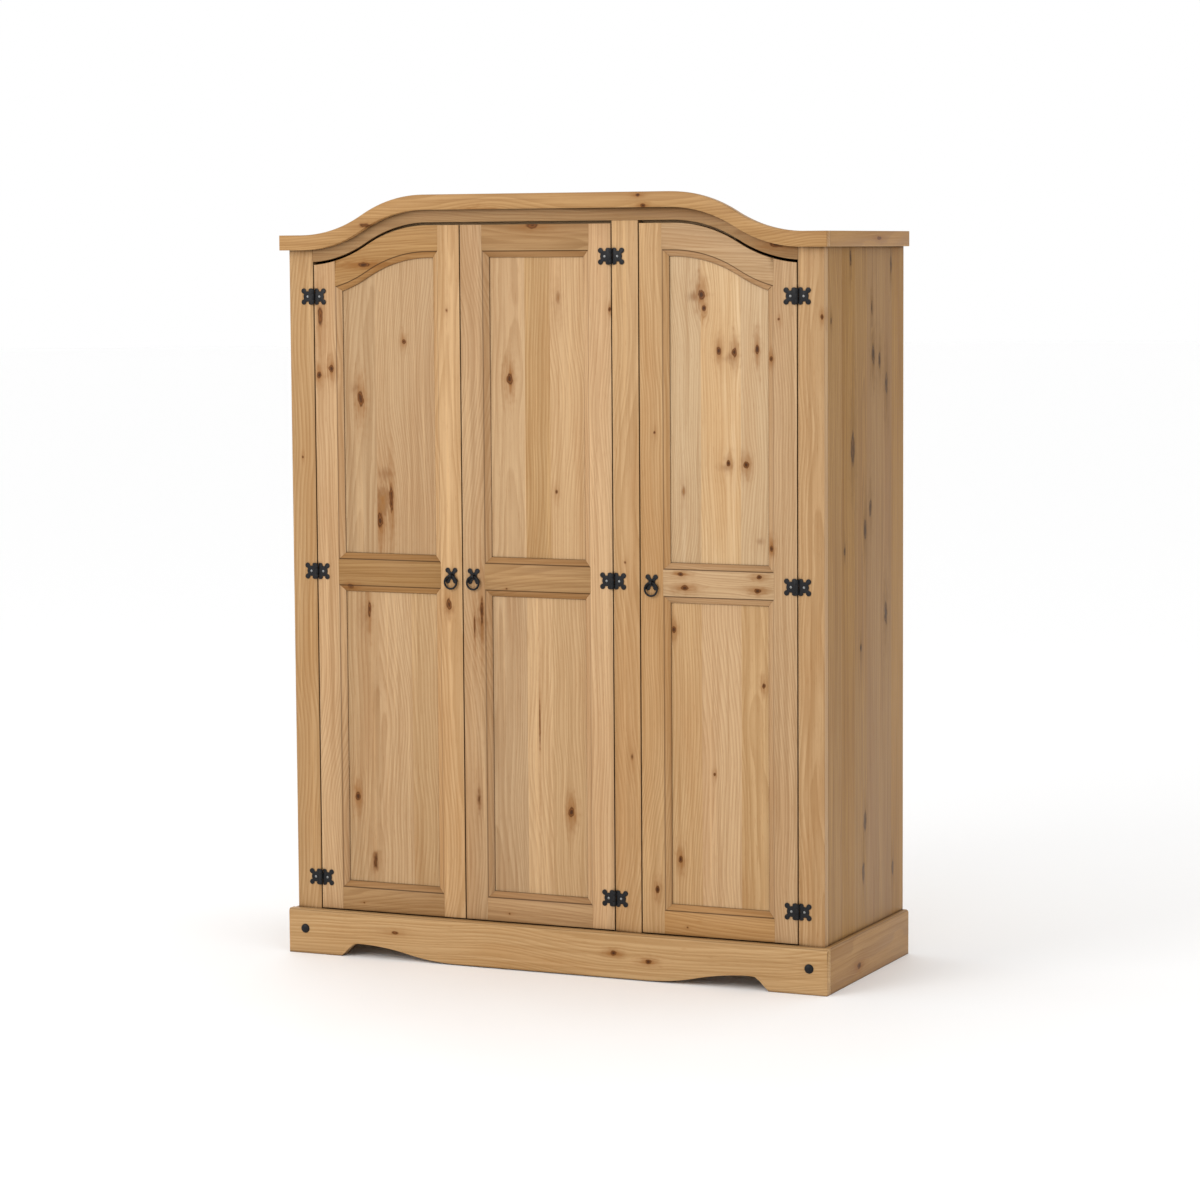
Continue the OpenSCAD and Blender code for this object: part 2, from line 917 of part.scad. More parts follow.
module frame_screws() {
    color(steel)
        for (d = [LEFT, MIDDLE, RIGHT])
            at_hinges(d)
                translate([-leaf_screw_u, 0, 0])
                    wood_screw();
}

// ---------------------------------------------------------------- Door fittings

module strike_screw_shank() {
    rotate([90, 0, 0])
        cylinder(h = strike_screw_l, r = screw_r);
}

// Hinge screws, strike plate with its screw, and the nut behind the pull
module door_fixings(d) {
    color(steel)
        on_door(d) {
            for (z = hinge_zs(d))
                translate([pin_u + leaf_screw_u, 0, z])
                    wood_screw();
            translate([lock_u, door_t, catch_z]) {
                translate([-strike_size[0] / 2, 0, -strike_size[2] / 2])
                    cube(strike_size);
                strike_screw_shank();
            }
            translate([lock_u, door_t, middle_rail_z])
                rotate([-90, 0, 0])
                    difference() {
                        cylinder(h = nut_t, r = 2 * bolt_r, $fn = 6);
                        translate([0, 0, -over])
                            cylinder(h = nut_t + 2 * over, r = bolt_r);
                    }
        }
}

// Outline of the pull plate: a disc with a lobe towards each corner
module plate_outline() {
    disc_r = 8.5;
    lobe_r = 6;
    neck_r = 4.2;
    lobe = [plate_w / 2 - lobe_r, plate_h / 2 - lobe_r];
    circle(disc_r);
    for (x = [-1, 1], z = [-1, 1]) {
        translate([x * lobe[0], z * lobe[1]])
            circle(lobe_r);
        rotate(atan2(z * lobe[1], x * lobe[0]))
            translate([0, -neck_r])
                square([norm(lobe), 2 * neck_r]);
    }
}

module door_pull_plate(d) {
    color(iron)
        on_door(d)
            translate([lock_u, 0, middle_rail_z]) {
                cut_door_board(-plate_t, plate_t)
                    plate_outline();
                rotate([-90, 0, 0])
                    cylinder(h = door_t + nut_t, r = bolt_r);
                difference() {
                    union() {
                        translate([-eye_w / 2, eye_v, 0])
                            rotate([0, 90, 0])
                                cylinder(h = eye_w, r = eye_r);
                        translate([-eye_w / 2, eye_v, -eye_r])
                            cube([eye_w, -eye_v - plate_t / 2, 2 * eye_r]);
                    }
                    translate([-eye_w, eye_v, 0])
                        rotate([0, 90, 0])
                            cylinder(h = 2 * eye_w, r = eye_bore_r);
                }
            }
}

module door_pull_ring(d) {
    color(iron)
        on_door(d)
            translate([lock_u, eye_v, middle_rail_z - ring_mean_r])
                rotate([90, 0, 0])
                    rotate_extrude()
                        translate([ring_mean_r, 0])
                            circle(ring_r);
}

side_board(-1);  // side_left
side_board(1);  // side_right
frame_stile(-1);  // stile_left
frame_stile(1);  // stile_right
centre_post();
bottom_rail();
fascia();
head_stop();
cornice_front();
cornice_sides();
plinth_front();
plinth_sides();
plinth_studs();
top_board();
floor_board();
floor_bearers();
partition();
back_boards();
top_shelf();
bay_shelves();
shelf_cleats();
hanging_rail();
rail_sockets();
frame_hinge_leaves();
hinge_pins();
frame_screws();
door_catches();
door_hinge_stile(LEFT);  // door_left_hinge_stile
door_lock_stile(LEFT);  // door_left_lock_stile
door_top_rail(LEFT);  // door_left_top_rail
door_middle_rail(LEFT);  // door_left_middle_rail
door_bottom_rail(LEFT);  // door_left_bottom_rail
door_upper_panel(LEFT);  // door_left_upper_panel
door_lower_panel(LEFT);  // door_left_lower_panel
door_hinge_leaves(LEFT);  // door_left_hinge_leaves
door_fixings(LEFT);  // door_left_fixings
door_pull_plate(LEFT);  // door_left_pull_plate
door_pull_ring(LEFT);  // door_left_pull_ring
door_hinge_stile(MIDDLE);  // door_middle_hinge_stile
door_lock_stile(MIDDLE);  // door_middle_lock_stile
door_top_rail(MIDDLE);  // door_middle_top_rail
door_middle_rail(MIDDLE);  // door_middle_middle_rail
door_bottom_rail(MIDDLE);  // door_middle_bottom_rail
door_upper_panel(MIDDLE);  // door_middle_upper_panel
door_lower_panel(MIDDLE);  // door_middle_lower_panel
door_hinge_leaves(MIDDLE);  // door_middle_hinge_leaves
door_fixings(MIDDLE);  // door_middle_fixings
door_pull_plate(MIDDLE);  // door_middle_pull_plate
door_pull_ring(MIDDLE);  // door_middle_pull_ring
door_hinge_stile(RIGHT);  // door_right_hinge_stile
door_lock_stile(RIGHT);  // door_right_lock_stile
door_top_rail(RIGHT);  // door_right_top_rail
door_middle_rail(RIGHT);  // door_right_middle_rail
door_bottom_rail(RIGHT);  // door_right_bottom_rail
door_upper_panel(RIGHT);  // door_right_upper_panel
door_lower_panel(RIGHT);  // door_right_lower_panel
door_hinge_leaves(RIGHT);  // door_right_hinge_leaves
door_fixings(RIGHT);  // door_right_fixings
door_pull_plate(RIGHT);  // door_right_pull_plate
door_pull_ring(RIGHT);  // door_right_pull_ring
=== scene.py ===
"""Looks of a three-door pine armoire: waxed boards, iron hinges and ring pulls, on a studio floor."""

from __future__ import annotations

import json
import logging
import math
import random
from dataclasses import dataclass, field
from enum import Enum

import bmesh
import bpy
from mathutils import Matrix, Vector

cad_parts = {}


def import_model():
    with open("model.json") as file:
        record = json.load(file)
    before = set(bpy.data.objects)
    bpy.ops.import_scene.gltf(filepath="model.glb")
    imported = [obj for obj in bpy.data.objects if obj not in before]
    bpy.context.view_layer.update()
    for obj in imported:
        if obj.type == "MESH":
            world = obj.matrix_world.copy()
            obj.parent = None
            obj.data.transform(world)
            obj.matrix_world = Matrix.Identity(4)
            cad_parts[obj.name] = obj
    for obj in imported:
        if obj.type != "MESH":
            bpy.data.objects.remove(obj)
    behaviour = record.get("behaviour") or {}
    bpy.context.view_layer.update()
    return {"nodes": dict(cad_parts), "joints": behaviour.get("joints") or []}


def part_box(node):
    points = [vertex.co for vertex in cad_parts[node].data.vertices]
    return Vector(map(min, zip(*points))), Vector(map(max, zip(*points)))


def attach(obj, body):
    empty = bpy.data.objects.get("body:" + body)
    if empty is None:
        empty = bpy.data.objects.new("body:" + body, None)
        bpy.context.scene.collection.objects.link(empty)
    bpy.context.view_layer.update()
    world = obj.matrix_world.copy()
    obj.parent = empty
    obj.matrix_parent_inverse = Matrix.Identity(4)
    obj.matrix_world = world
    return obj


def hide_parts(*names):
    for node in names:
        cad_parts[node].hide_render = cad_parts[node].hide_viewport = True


LOG = logging.getLogger("armoire")
MM = 0.001
MERGE_REACH = 0.01 * MM
Rgb = tuple[int, int, int]
Corner = tuple[Vector, Vector]
Object = bpy.types.Object
Shape = bmesh.types.BMesh
Socket = bpy.types.NodeSocket
Sockets = bpy.types.bpy_prop_collection


def linear(colour: Rgb) -> tuple[float, float, float, float]:
    """Turns a colour in display values into linear light.

    Args:
        colour: Red, green and blue, from 0 to 255.

    Returns:
        Red, green, blue and alpha, from 0 to 1.
    """
    parts = [channel / 255 for channel in colour]
    bright = [part / 12.92 if part <= 0.04045 else ((part + 0.055) / 1.055) ** 2.4 for part in parts]
    return (bright[0], bright[1], bright[2], 1.0)


class Grain(Enum):
    """Which axes run across a board, into its thickness and along its fibres."""

    UPRIGHT_FRONT = ("X", "Y", "Z")
    LEVEL_FRONT = ("Z", "Y", "X")
    UPRIGHT_SIDE = ("Y", "X", "Z")
    LEVEL_SIDE = ("Z", "X", "Y")
    SHELF = ("Y", "Z", "X")


class DoorPlace(Enum):
    """The three doors, each with the side that its hinges are on: -1 for the left, 1 for the right."""

    LEFT = ("left", -1)
    MIDDLE = ("middle", 1)
    RIGHT = ("right", 1)

    @property
    def label(self) -> str:
        """The door's name within the part."""
        return self.value[0]

    @property
    def hinge_side(self) -> int:
        """The side of the door that carries the hinges."""
        return self.value[1]


@dataclass(frozen=True)
class Weave:
    """Noise that is stretched along the fibres.

    Attributes:
        across: How fine it is across them, per metre.
        along: How fine it is along them, per metre.
        detail: How many finer layers it has.
        roughness: How strong the finer layers are.
    """

    across: float
    along: float
    detail: float = 1.0
    roughness: float = 0.5


DRIFT = Weave(0.8, 1.6)
SWAY = Weave(2.0, 3.6, 2.0)
RIPPLE = Weave(42.0, 2.2, 2.0)
PATCH = Weave(11.0, 1.4, 3.0, 0.55)
BAND = Weave(95.0, 1.3, 4.0, 0.62)
STREAK = Weave(420.0, 6.0, 3.0, 0.6)
FLECK = Weave(1000.0, 30.0)
KNOT_LUMP = Weave(90.0, 55.0)
KNOT_FRINGE = Weave(420.0, 60.0, 2.0)


class Wiring:
    """Adds nodes to one tree and links them, with sockets or plain numbers as inputs."""

    def __init__(self, tree: bpy.types.NodeTree) -> None:
        """Keeps the tree that the nodes go into."""
        self.tree = tree

    def node(self, kind: str, **settings: object) -> bpy.types.Node:
        """Adds a node.

        Args:
            kind: Blender's name for the node type.
            **settings: Properties to set on it.

        Returns:
            The new node.
        """
        made = self.tree.nodes.new(kind)
        for name, value in settings.items():
            setattr(made, name, value)
        return made

    def feed(self, socket: Socket, value: object) -> None:
        """Links a socket into an input, or sets the input to a plain value.

        Args:
            socket: The input.
            value: The socket or the value.
        """
        if isinstance(value, Socket):
            self.tree.links.new(value, socket)
        else:
            socket.default_value = value

    def feed_all(self, node: bpy.types.Node, values: dict[str, object]) -> None:
        """Feeds several inputs of a node by their names."""
        for name, value in values.items():
            self.feed(node.inputs[name], value)

    def math(self, operation: str, *values: object, clamp: bool = False) -> Socket:
        """Adds a Math node.

        Args:
            operation: The operation, such as "ADD".
            *values: Its inputs, in order.
            clamp: Whether the result is kept between 0 and 1.

        Returns:
            The result's socket.
        """
        made = self.node("ShaderNodeMath", operation=operation, use_clamp=clamp)
        for socket, value in zip(made.inputs, values):
            self.feed(socket, value)
        return made.outputs[0]

    def chain(self, operation: str, first: object, *others: object) -> object:
        """Runs one Math operation over several numbers, from the first one on.

        Args:
            operation: The operation.
            first: The first number.
            *others: The numbers that follow.

        Returns:
            The result's socket.
        """
        for other in others:
            first = self.math(operation, first, other)
        return first

    def add(self, *values: object) -> Socket:
        """Adds numbers up."""
        return self.chain("ADD", *values)

    def times(self, *values: object) -> Socket:
        """Multiplies numbers."""
        return self.chain("MULTIPLY", *values)

    def most(self, *values: object) -> Socket:
        """Picks the largest number."""
        return self.chain("MAXIMUM", *values)

    def minus(self, value: object, taken: object) -> Socket:
        """Takes one number from another."""
        return self.math("SUBTRACT", value, taken)

    def scaled(self, value: object, factor: object, offset: object) -> Socket:
        """Multiplies a number by a factor and adds an offset."""
        return self.math("MULTIPLY_ADD", value, factor, offset)

    def centred(self, value: Socket, width: float) -> Socket:
        """Spreads a number between 0 and 1 over a width that has zero in its middle."""
        return self.scaled(value, width, -width / 2)

    def vector(self, x: object, y: object, z: object) -> Socket:
        """Joins three numbers into a vector.

        Args:
            x: The number along X.
            y: The number along Y.
            z: The number along Z.

        Returns:
            The vector's socket.
        """
        made = self.node("ShaderNodeCombineXYZ")
        for socket, value in zip(made.inputs, (x, y, z)):
            self.feed(socket, value)
        return made.outputs[0]

    def split(self, vector: Socket) -> list[Socket]:
        """Splits a vector.

        Args:
            vector: The vector's socket.

        Returns:
            Its three numbers' sockets.
        """
        made = self.node("ShaderNodeSeparateXYZ")
        self.feed(made.inputs[0], vector)
        return list(made.outputs)

    def coordinates(self, kind: str) -> Socket:
        """Adds texture coordinates of one kind, such as "Object"."""
        return self.node("ShaderNodeTexCoord").outputs[kind]

    def noise(self, vector: Socket, scale: float, detail: float = 2.0, roughness: float = 0.5) -> Socket:
        """Adds smooth noise between 0 and 1.

        Args:
            vector: Where it is read.
            scale: How fine it is.
            detail: How many finer layers it has.
            roughness: How strong the finer layers are.

        Returns:
            The noise value's socket.
        """
        made = self.node("ShaderNodeTexNoise", noise_dimensions="3D")
        self.feed_all(made, {"Vector": vector, "Scale": scale, "Detail": detail, "Roughness": roughness})
        return made.outputs[0]

    def weave(self, place: Socket, kind: Weave, shift: object = (0.0, 0.0, 0.0)) -> Socket:
        """Adds noise that is stretched along the fibres.

        Args:
            place: Where it is read: across, into the thickness and along.
            kind: How it is stretched.
            shift: What sets one board's noise apart, as a vector or a number's socket.

        Returns:
            The noise value's socket.
        """
        stretched = self.node("ShaderNodeVectorMath", operation="MULTIPLY_ADD")
        for socket, value in zip(stretched.inputs, (place, (kind.across, kind.across, kind.along), shift)):
            self.feed(socket, value)
        return self.noise(stretched.outputs[0], 1.0, kind.detail, kind.roughness)

    def ease(self, value: object, low: float, high: float, start: float = 0.0, end: float = 1.0) -> Socket:
        """Maps a range smoothly onto another one.

        Args:
            value: The number that is mapped.
            low: Where the range starts.
            high: Where it ends.
            start: The result at the start.
            end: The result at the end.

        Returns:
            The result's socket.
        """
        made = self.node("ShaderNodeMapRange", interpolation_type="SMOOTHSTEP")
        self.feed_all(made, {"Value": value, "From Min": low, "From Max": high,
                             "To Min": start, "To Max": end})
        return made.outputs[0]

    def blend(self, amount: object, below: object, above: object) -> Socket:
        """Mixes two colours.

        Args:
            amount: How much of the upper colour shows.
            below: The lower colour.
            above: The upper colour.

        Returns:
            The colour's socket.
        """
        made = self.node("ShaderNodeMix", data_type="RGBA")
        for place, value in ((0, amount), (6, below), (7, above)):
            self.feed(made.inputs[place], value)
        return made.outputs[2]

    def bump(self, height: Socket, strength: float, depth: float) -> Socket:
        """Adds a Bump node.

        Args:
            height: The height's socket.
            strength: How strong it is, from 0 to 1.
            depth: How deep it is, in millimetres.

        Returns:
            The normal's socket.
        """
        made = self.node("ShaderNodeBump")
        self.feed_all(made, {"Strength": strength, "Distance": depth * MM, "Height": height})
        return made.outputs[0]


def new_group(title: str, kind: str, inputs: dict[str, str], outputs: dict[str, str]) -> Wiring:
    """Starts a node group.

    Args:
        title: Its name.
        kind: What it is for: "Shader" or "Geometry".
        inputs: Socket types, each with the names of its inputs, set apart by commas.
        outputs: Socket types, each with the names of its outputs.

    Returns:
        The group's wiring.
    """
    tree = bpy.data.node_groups.new(title, kind + "NodeTree")
    for sockets, side in ((inputs, "INPUT"), (outputs, "OUTPUT")):
        for ending, names in sockets.items():
            for name in names.split(", "):
                tree.interface.new_socket(name, in_out=side, socket_type="NodeSocket" + ending)
    return Wiring(tree)


def new_material(name: str) -> tuple[bpy.types.Material, Wiring, Sockets]:
    """Makes a material.

    Args:
        name: Its name.

    Returns:
        The material, its wiring and its shader's inputs.
    """
    made = bpy.data.materials.new(name)
    made.use_nodes = True
    shader = next(item for item in made.node_tree.nodes if item.type == "BSDF_PRINCIPLED")
    return made, Wiring(made.node_tree), shader.inputs


def add_object(name: str, data: bpy.types.ID) -> Object:
    """Puts a new object into the scene.

    Args:
        name: Its name.
        data: Its mesh, camera or light.

    Returns:
        The object.
    """
    made = bpy.data.objects.new(name, data)
    bpy.context.scene.collection.objects.link(made)
    return made


@dataclass(frozen=True)
class Knot:
    """A knot, in millimetres from the board's own low corner.

    Attributes:
        across: Its place across the board.
        along: Its place along the fibres.
        radius: Its half width.
        stretch: Its length along the fibres over its width.
        strength: How dark it is, from 0 to 1.
        within: The strip of the board's width that it stays in.
        burr: How pale its middle is, from 0 to 1.
    """

    across: float
    along: float
    radius: float = 6.0
    stretch: float = 1.3
    strength: float = 1.0
    within: tuple[float, float] = (-9000.0, 9000.0)
    burr: float = 0.0


@dataclass(frozen=True)
class Growth:
    """How the trunk grew that a board was cut from, in metres.

    Attributes:
        pith_spread: How far the pith's place across the boards varies.
        pith_wander: How far the pith wanders along a board.
        pith_depth: How far behind the face the pith lies at least.
        pith_depth_spread: How much deeper than that it can lie.
        taper: How much the rings widen over a metre.
        sway: How far the rings sway.
        pitch: Distance of the closest rings.
        pitch_spread: How much further apart they can be.
        ripple: How far a ring's edge ripples, in rings.
        uneven: How unevenly the rings are spaced, in rings.
        uneven_scale: How quickly their spacing changes, per metre.
        seed_step: What sets the noise of two seeds apart.
    """

    pith_spread: float = 0.26
    pith_wander: float = 0.16
    pith_depth: float = 0.016
    pith_depth_spread: float = 0.05
    taper: float = 0.014
    sway: float = 0.016
    pitch: float = 0.0058
    pitch_spread: float = 0.0035
    ripple: float = 0.55
    uneven: float = 3.0
    uneven_scale: float = 42.0
    seed_step: float = 3.7

    def rings(self, wire: Wiring, given: Sockets, luck: list[Socket], shift: Socket) -> tuple[Socket, Socket]:
        """Draws the growth rings round the pith.

        Args:
            wire: The group's wiring.
            given: The group's inputs.
            luck: Three numbers that the stave's seed decides.
            shift: What sets the stave's noise apart.

        Returns:
            How dark the rings are, and the ripple in them.
        """
        fibre = given["Fibre"]
        across, depth, along = wire.split(fibre)
        drift, sway, ripple = (wire.weave(fibre, kind, shift) for kind in (DRIFT, SWAY, RIPPLE))
        pith = wire.add(given["Middle"], wire.centred(luck[0], self.pith_spread),
                        wire.centred(drift, self.pith_wander))
        side = wire.minus(across, pith)
        back = wire.minus(depth, wire.scaled(luck[1], self.pith_depth_spread, self.pith_depth))
        radius = wire.math("SQRT", wire.add(wire.times(side, side), wire.times(back, back)))
        radius = wire.add(radius, wire.times(along, self.taper), wire.times(sway, self.sway))
        pitch = wire.scaled(luck[2], self.pitch_spread, self.pitch)
        uneven = wire.noise(wire.vector(wire.add(radius, shift), 0.0, 0.0), self.uneven_scale, 1.0)
        turns = wire.add(wire.math("DIVIDE", radius, pitch), wire.times(ripple, self.ripple))
        phase = wire.math("FRACT", wire.scaled(uneven, self.uneven, turns))
        return wire.times(wire.ease(phase, 0.15, 0.86), wire.ease(phase, 0.9, 1.0, 1.0, 0.0)), ripple


@dataclass(frozen=True)
class PineFinish:
    """Waxed pine of one tone.

    Attributes:
        name: What it is called.
        slot: The record's material slot.
        early: Colour of the pale spring wood.
        late: Colour of the dark rings.
        warm: Colour of the broad warm patches.
        heart: Colour of the knots' middles.
        rim: Colour of the knots' edges, also the colour of the painted shade on the eased edges, in the
            corners and in the lines along the mouldings.
        halo: Colour of the wood round a knot, also the colour of the painted shade on the mouldings' slopes.
        pale: Colour of the palest bands.
        ring_strength: How far the rings darken the wood.
        ring_patches: How much that varies from patch to patch.
        patch_strength: How strong the warm patches are.
        band_strength: How strongly the wood is banded along its fibres.
        streak_strength: How strong the dark streaks are.
        fleck_strength: How strong the short flecks are.
        slope_stain: How far painted shade darkens the mouldings' slopes.
        line_stain: How dark the painted shade lines along the mouldings' top edge and crease are.
        edge_stain: How far painted shade darkens the eased edges.
        corner_stain: How far painted shade darkens the inner corners and the gaps between parts.
        corner_reach: How far the painted corner shade reaches, in millimetres.
        corner_samples: How many rays look for a corner.
        growth: How the trunk grew.
    """

    name: str
    slot: str
    early: Rgb
    late: Rgb
    warm: Rgb
    heart: Rgb = (118, 70, 28)
    rim: Rgb = (56, 32, 12)
    halo: Rgb = (138, 90, 42)
    pale: Rgb = (204, 166, 120)
    ring_strength: float = 0.5
    ring_patches: float = 0.8
    patch_strength: float = 0.6
    band_strength: float = 0.55
    streak_strength: float = 0.4
    fleck_strength: float = 0.42
    slope_stain: float = 0.34
    line_stain: float = 0.8
    edge_stain: float = 0.4
    corner_stain: float = 0.8
    corner_reach: float = 9.0
    corner_samples: int = 6
    growth: Growth = Growth()

    def timber_group(self) -> bpy.types.NodeTree:
        """Builds the wood pattern's node group once, or finds it again.

        Returns:
            The group, which gives a colour, a roughness and a height.
        """
        title = "timber " + self.name
        if title in bpy.data.node_groups:
            return bpy.data.node_groups[title]
        wire = new_group(title, "Shader",
                         {"Vector": "Fibre", "Float": "Core, Halo, Pale, Seed, Middle, Tone, Slope, Line"},
                         {"Color": "Colour", "Float": "Roughness, Height"})
        given = wire.node("NodeGroupInput").outputs
        chance = wire.node("ShaderNodeTexWhiteNoise", noise_dimensions="1D")
        wire.feed(chance.inputs["W"], given["Seed"])
        luck = wire.split(chance.outputs["Color"])
        shift = wire.times(given["Seed"], self.growth.seed_step)
        ring, ripple = self.growth.rings(wire, given, luck, shift)
        colour, streak = self.clear_wood(wire, given["Fibre"], shift, ring)
        tint = wire.node("ShaderNodeHueSaturation")
        wire.feed_all(tint, {"Color": colour, "Saturation": wire.scaled(luck[0], 0.12, 0.94),
                             "Value": wire.times(given["Tone"], wire.scaled(luck[2], 0.1, 0.95))})
        colour, mask = self.knotty_wood(wire, given, tint.outputs[0], streak, ripple)
        # Painted shade: the moulding's slope darkens towards the halo brown, and dark shade lines run along
        # its top edge and its crease.
        colour = wire.blend(wire.times(given["Slope"], self.slope_stain), colour, linear(self.halo))
        colour = wire.blend(wire.times(given["Line"], self.line_stain), colour, linear(self.rim))
        relief = wire.scaled(ring, 0.5, wire.times(streak, 0.5))
        wire.feed_all(wire.node("NodeGroupOutput"), {
            "Colour": self.stain(wire, colour),
            "Roughness": wire.minus(wire.scaled(streak, 0.14, 0.43), wire.times(ring, 0.07)),
            "Height": wire.minus(relief, wire.times(mask, 0.35))})
        return wire.tree

    def clear_wood(self, wire: Wiring, fibre: Socket, shift: Socket, ring: Socket) -> tuple[Socket, Socket]:
        """Colours the wood between the knots.

        Args:
            wire: The group's wiring.
            fibre: The place along the bent fibres.
            shift: What sets the stave's noise apart.
            ring: How dark the rings are.

        Returns:
            The colour and the streaks.
        """
        patch, band, streak, fleck = (wire.weave(fibre, kind, shift) for kind in (PATCH, BAND, STREAK, FLECK))
        strength = wire.scaled(patch, self.ring_patches, self.ring_strength - self.ring_patches / 2)
        colour = wire.blend(wire.times(ring, strength), linear(self.early), linear(self.late))
        for pattern, low, high, amount, over in (
                (patch, 0.42, 0.74, self.patch_strength, self.warm),
                (band, 0.46, 0.72, self.band_strength, self.late),
                (band, 0.46, 0.28, self.band_strength, self.pale),
                (streak, 0.48, 0.78, self.streak_strength, self.late),
                (fleck, 0.64, 0.76, self.fleck_strength, self.halo)):
            colour = wire.blend(wire.ease(pattern, low, high, 0.0, amount), colour, linear(over))
        return colour, streak

    def knotty_wood(self, wire: Wiring, given: Sockets, colour: Socket, streak: Socket,
                    ripple: Socket) -> tuple[Socket, Socket]:
        """Lays the knots and the dark wood round them over the clear wood.

        Args:
            wire: The group's wiring.
            given: The group's inputs.
            colour: The clear wood's colour.
            streak: The wood's streaks.
            ripple: The ripple in the rings.

        Returns:
            The colour, and where the knots are.
        """
        core, halo, rim = given["Core"], linear(self.halo), linear(self.rim)
        glow = wire.math("MULTIPLY", given["Halo"], wire.times(streak, 1.7), clamp=True)
        swirl = wire.math("SINE", wire.scaled(core, 17.0, wire.times(ripple, 5.0)))
        swirled = wire.math("MULTIPLY_ADD", swirl, 0.28, 0.32, clamp=True)
        knot = wire.blend(swirled, linear(self.heart), rim)
        knot = wire.blend(wire.ease(core, 0.5, 0.9, 0.0, 0.8), knot, rim)
        burr = wire.blend(wire.math("MULTIPLY_ADD", swirl, 0.3, 0.5, clamp=True), linear(self.late), halo)
        knot = wire.blend(wire.ease(given["Pale"], 0.12, 0.3), knot, burr)
        mask = wire.ease(core, 0.0, 0.34)
        return wire.blend(mask, wire.blend(glow, colour, halo), knot), mask

    def stain(self, wire: Wiring, colour: Socket) -> Socket:
        """Paints shade into the colour: darker on the eased edges, and in the inner corners and gaps that an
        ambient occlusion pass finds.

        Args:
            wire: The tree's wiring.
            colour: The wood's colour.

        Returns:
            The colour with its painted shade, as a socket.
        """
        # Painted shade: the eased edges, whose normals lie off the board's axes, darken towards the rim
        # brown.
        steep = [wire.math("ABSOLUTE", part) for part in wire.split(wire.coordinates("Normal"))]
        square = wire.minus(1.0, wire.most(*steep))
        colour = wire.blend(wire.ease(square, 0.12, 0.28, 0.0, self.edge_stain), colour, linear(self.rim))
        # Painted shade: an ambient occlusion pass darkens the inner corners and the gaps between parts.
        corner = wire.node("ShaderNodeAmbientOcclusion", samples=self.corner_samples)
        corner.inputs["Distance"].default_value = self.corner_reach * MM
        shade = wire.ease(corner.outputs["AO"], 0.25, 0.92, self.corner_stain, 0.0)
        return wire.blend(shade, colour, linear(self.rim))


def knot_group() -> bpy.types.NodeTree:
    """Builds the node group that bends the fibres round a knot once, or finds it again.

    Returns:
        The group, which passes on the fibres' place and the knots' darkness.
    """
    title = "knot"
    if title in bpy.data.node_groups:
        return bpy.data.node_groups[title]
    wire = new_group(title, "Shader",
                     {"Vector": "Place, Fibre",
                      "Float": "Core, Halo, Pale, Burr, Across, Along, Radius, Stretch, Strength, Low, High"},
                     {"Vector": "Fibre", "Float": "Core, Halo, Pale"})
    given = wire.node("NodeGroupInput").outputs
    across, _, along = wire.split(given["Place"])
    side = wire.minus(across, given["Across"])
    wide = wire.math("DIVIDE", side, given["Radius"])
    half_length = wire.times(given["Radius"], given["Stretch"])
    long = wire.math("DIVIDE", wire.minus(along, given["Along"]), half_length)
    wide_sq = wire.times(wide, wide)
    long_sq = wire.times(long, long)
    lump = wire.weave(given["Place"], KNOT_LUMP)
    fringe = wire.weave(given["Place"], KNOT_FRINGE)
    reach = wire.add(wire.math("SQRT", wire.add(wide_sq, long_sq)), wire.centred(lump, 0.9),
                     wire.centred(fringe, 0.4))
    power = wire.times(wire.math("GREATER_THAN", across, given["Low"]),
                       wire.math("LESS_THAN", across, given["High"]), given["Strength"])
    core = wire.times(wire.math("SUBTRACT", 1.12, reach, clamp=True), power)
    spread = wire.add(wide_sq, wire.times(long_sq, 0.3))
    halo = wire.times(wire.math("EXPONENT", wire.times(spread, wire.scaled(lump, -0.7, 0.02))), power)
    bend = wire.times(wire.math("EXPONENT", wire.times(spread, -0.15)), power)
    moved = wire.node("ShaderNodeVectorMath", operation="ADD")
    wire.feed(moved.inputs[0], given["Fibre"])
    wire.feed(moved.inputs[1], wire.vector(wire.times(side, bend, -0.86), 0.0, 0.0))
    wire.feed_all(wire.node("NodeGroupOutput"), {
        "Fibre": moved.outputs[0],
        "Core": wire.most(given["Core"], core),
        "Halo": wire.most(given["Halo"], halo),
        "Pale": wire.most(given["Pale"], wire.times(core, given["Burr"]))})
    return wire.tree


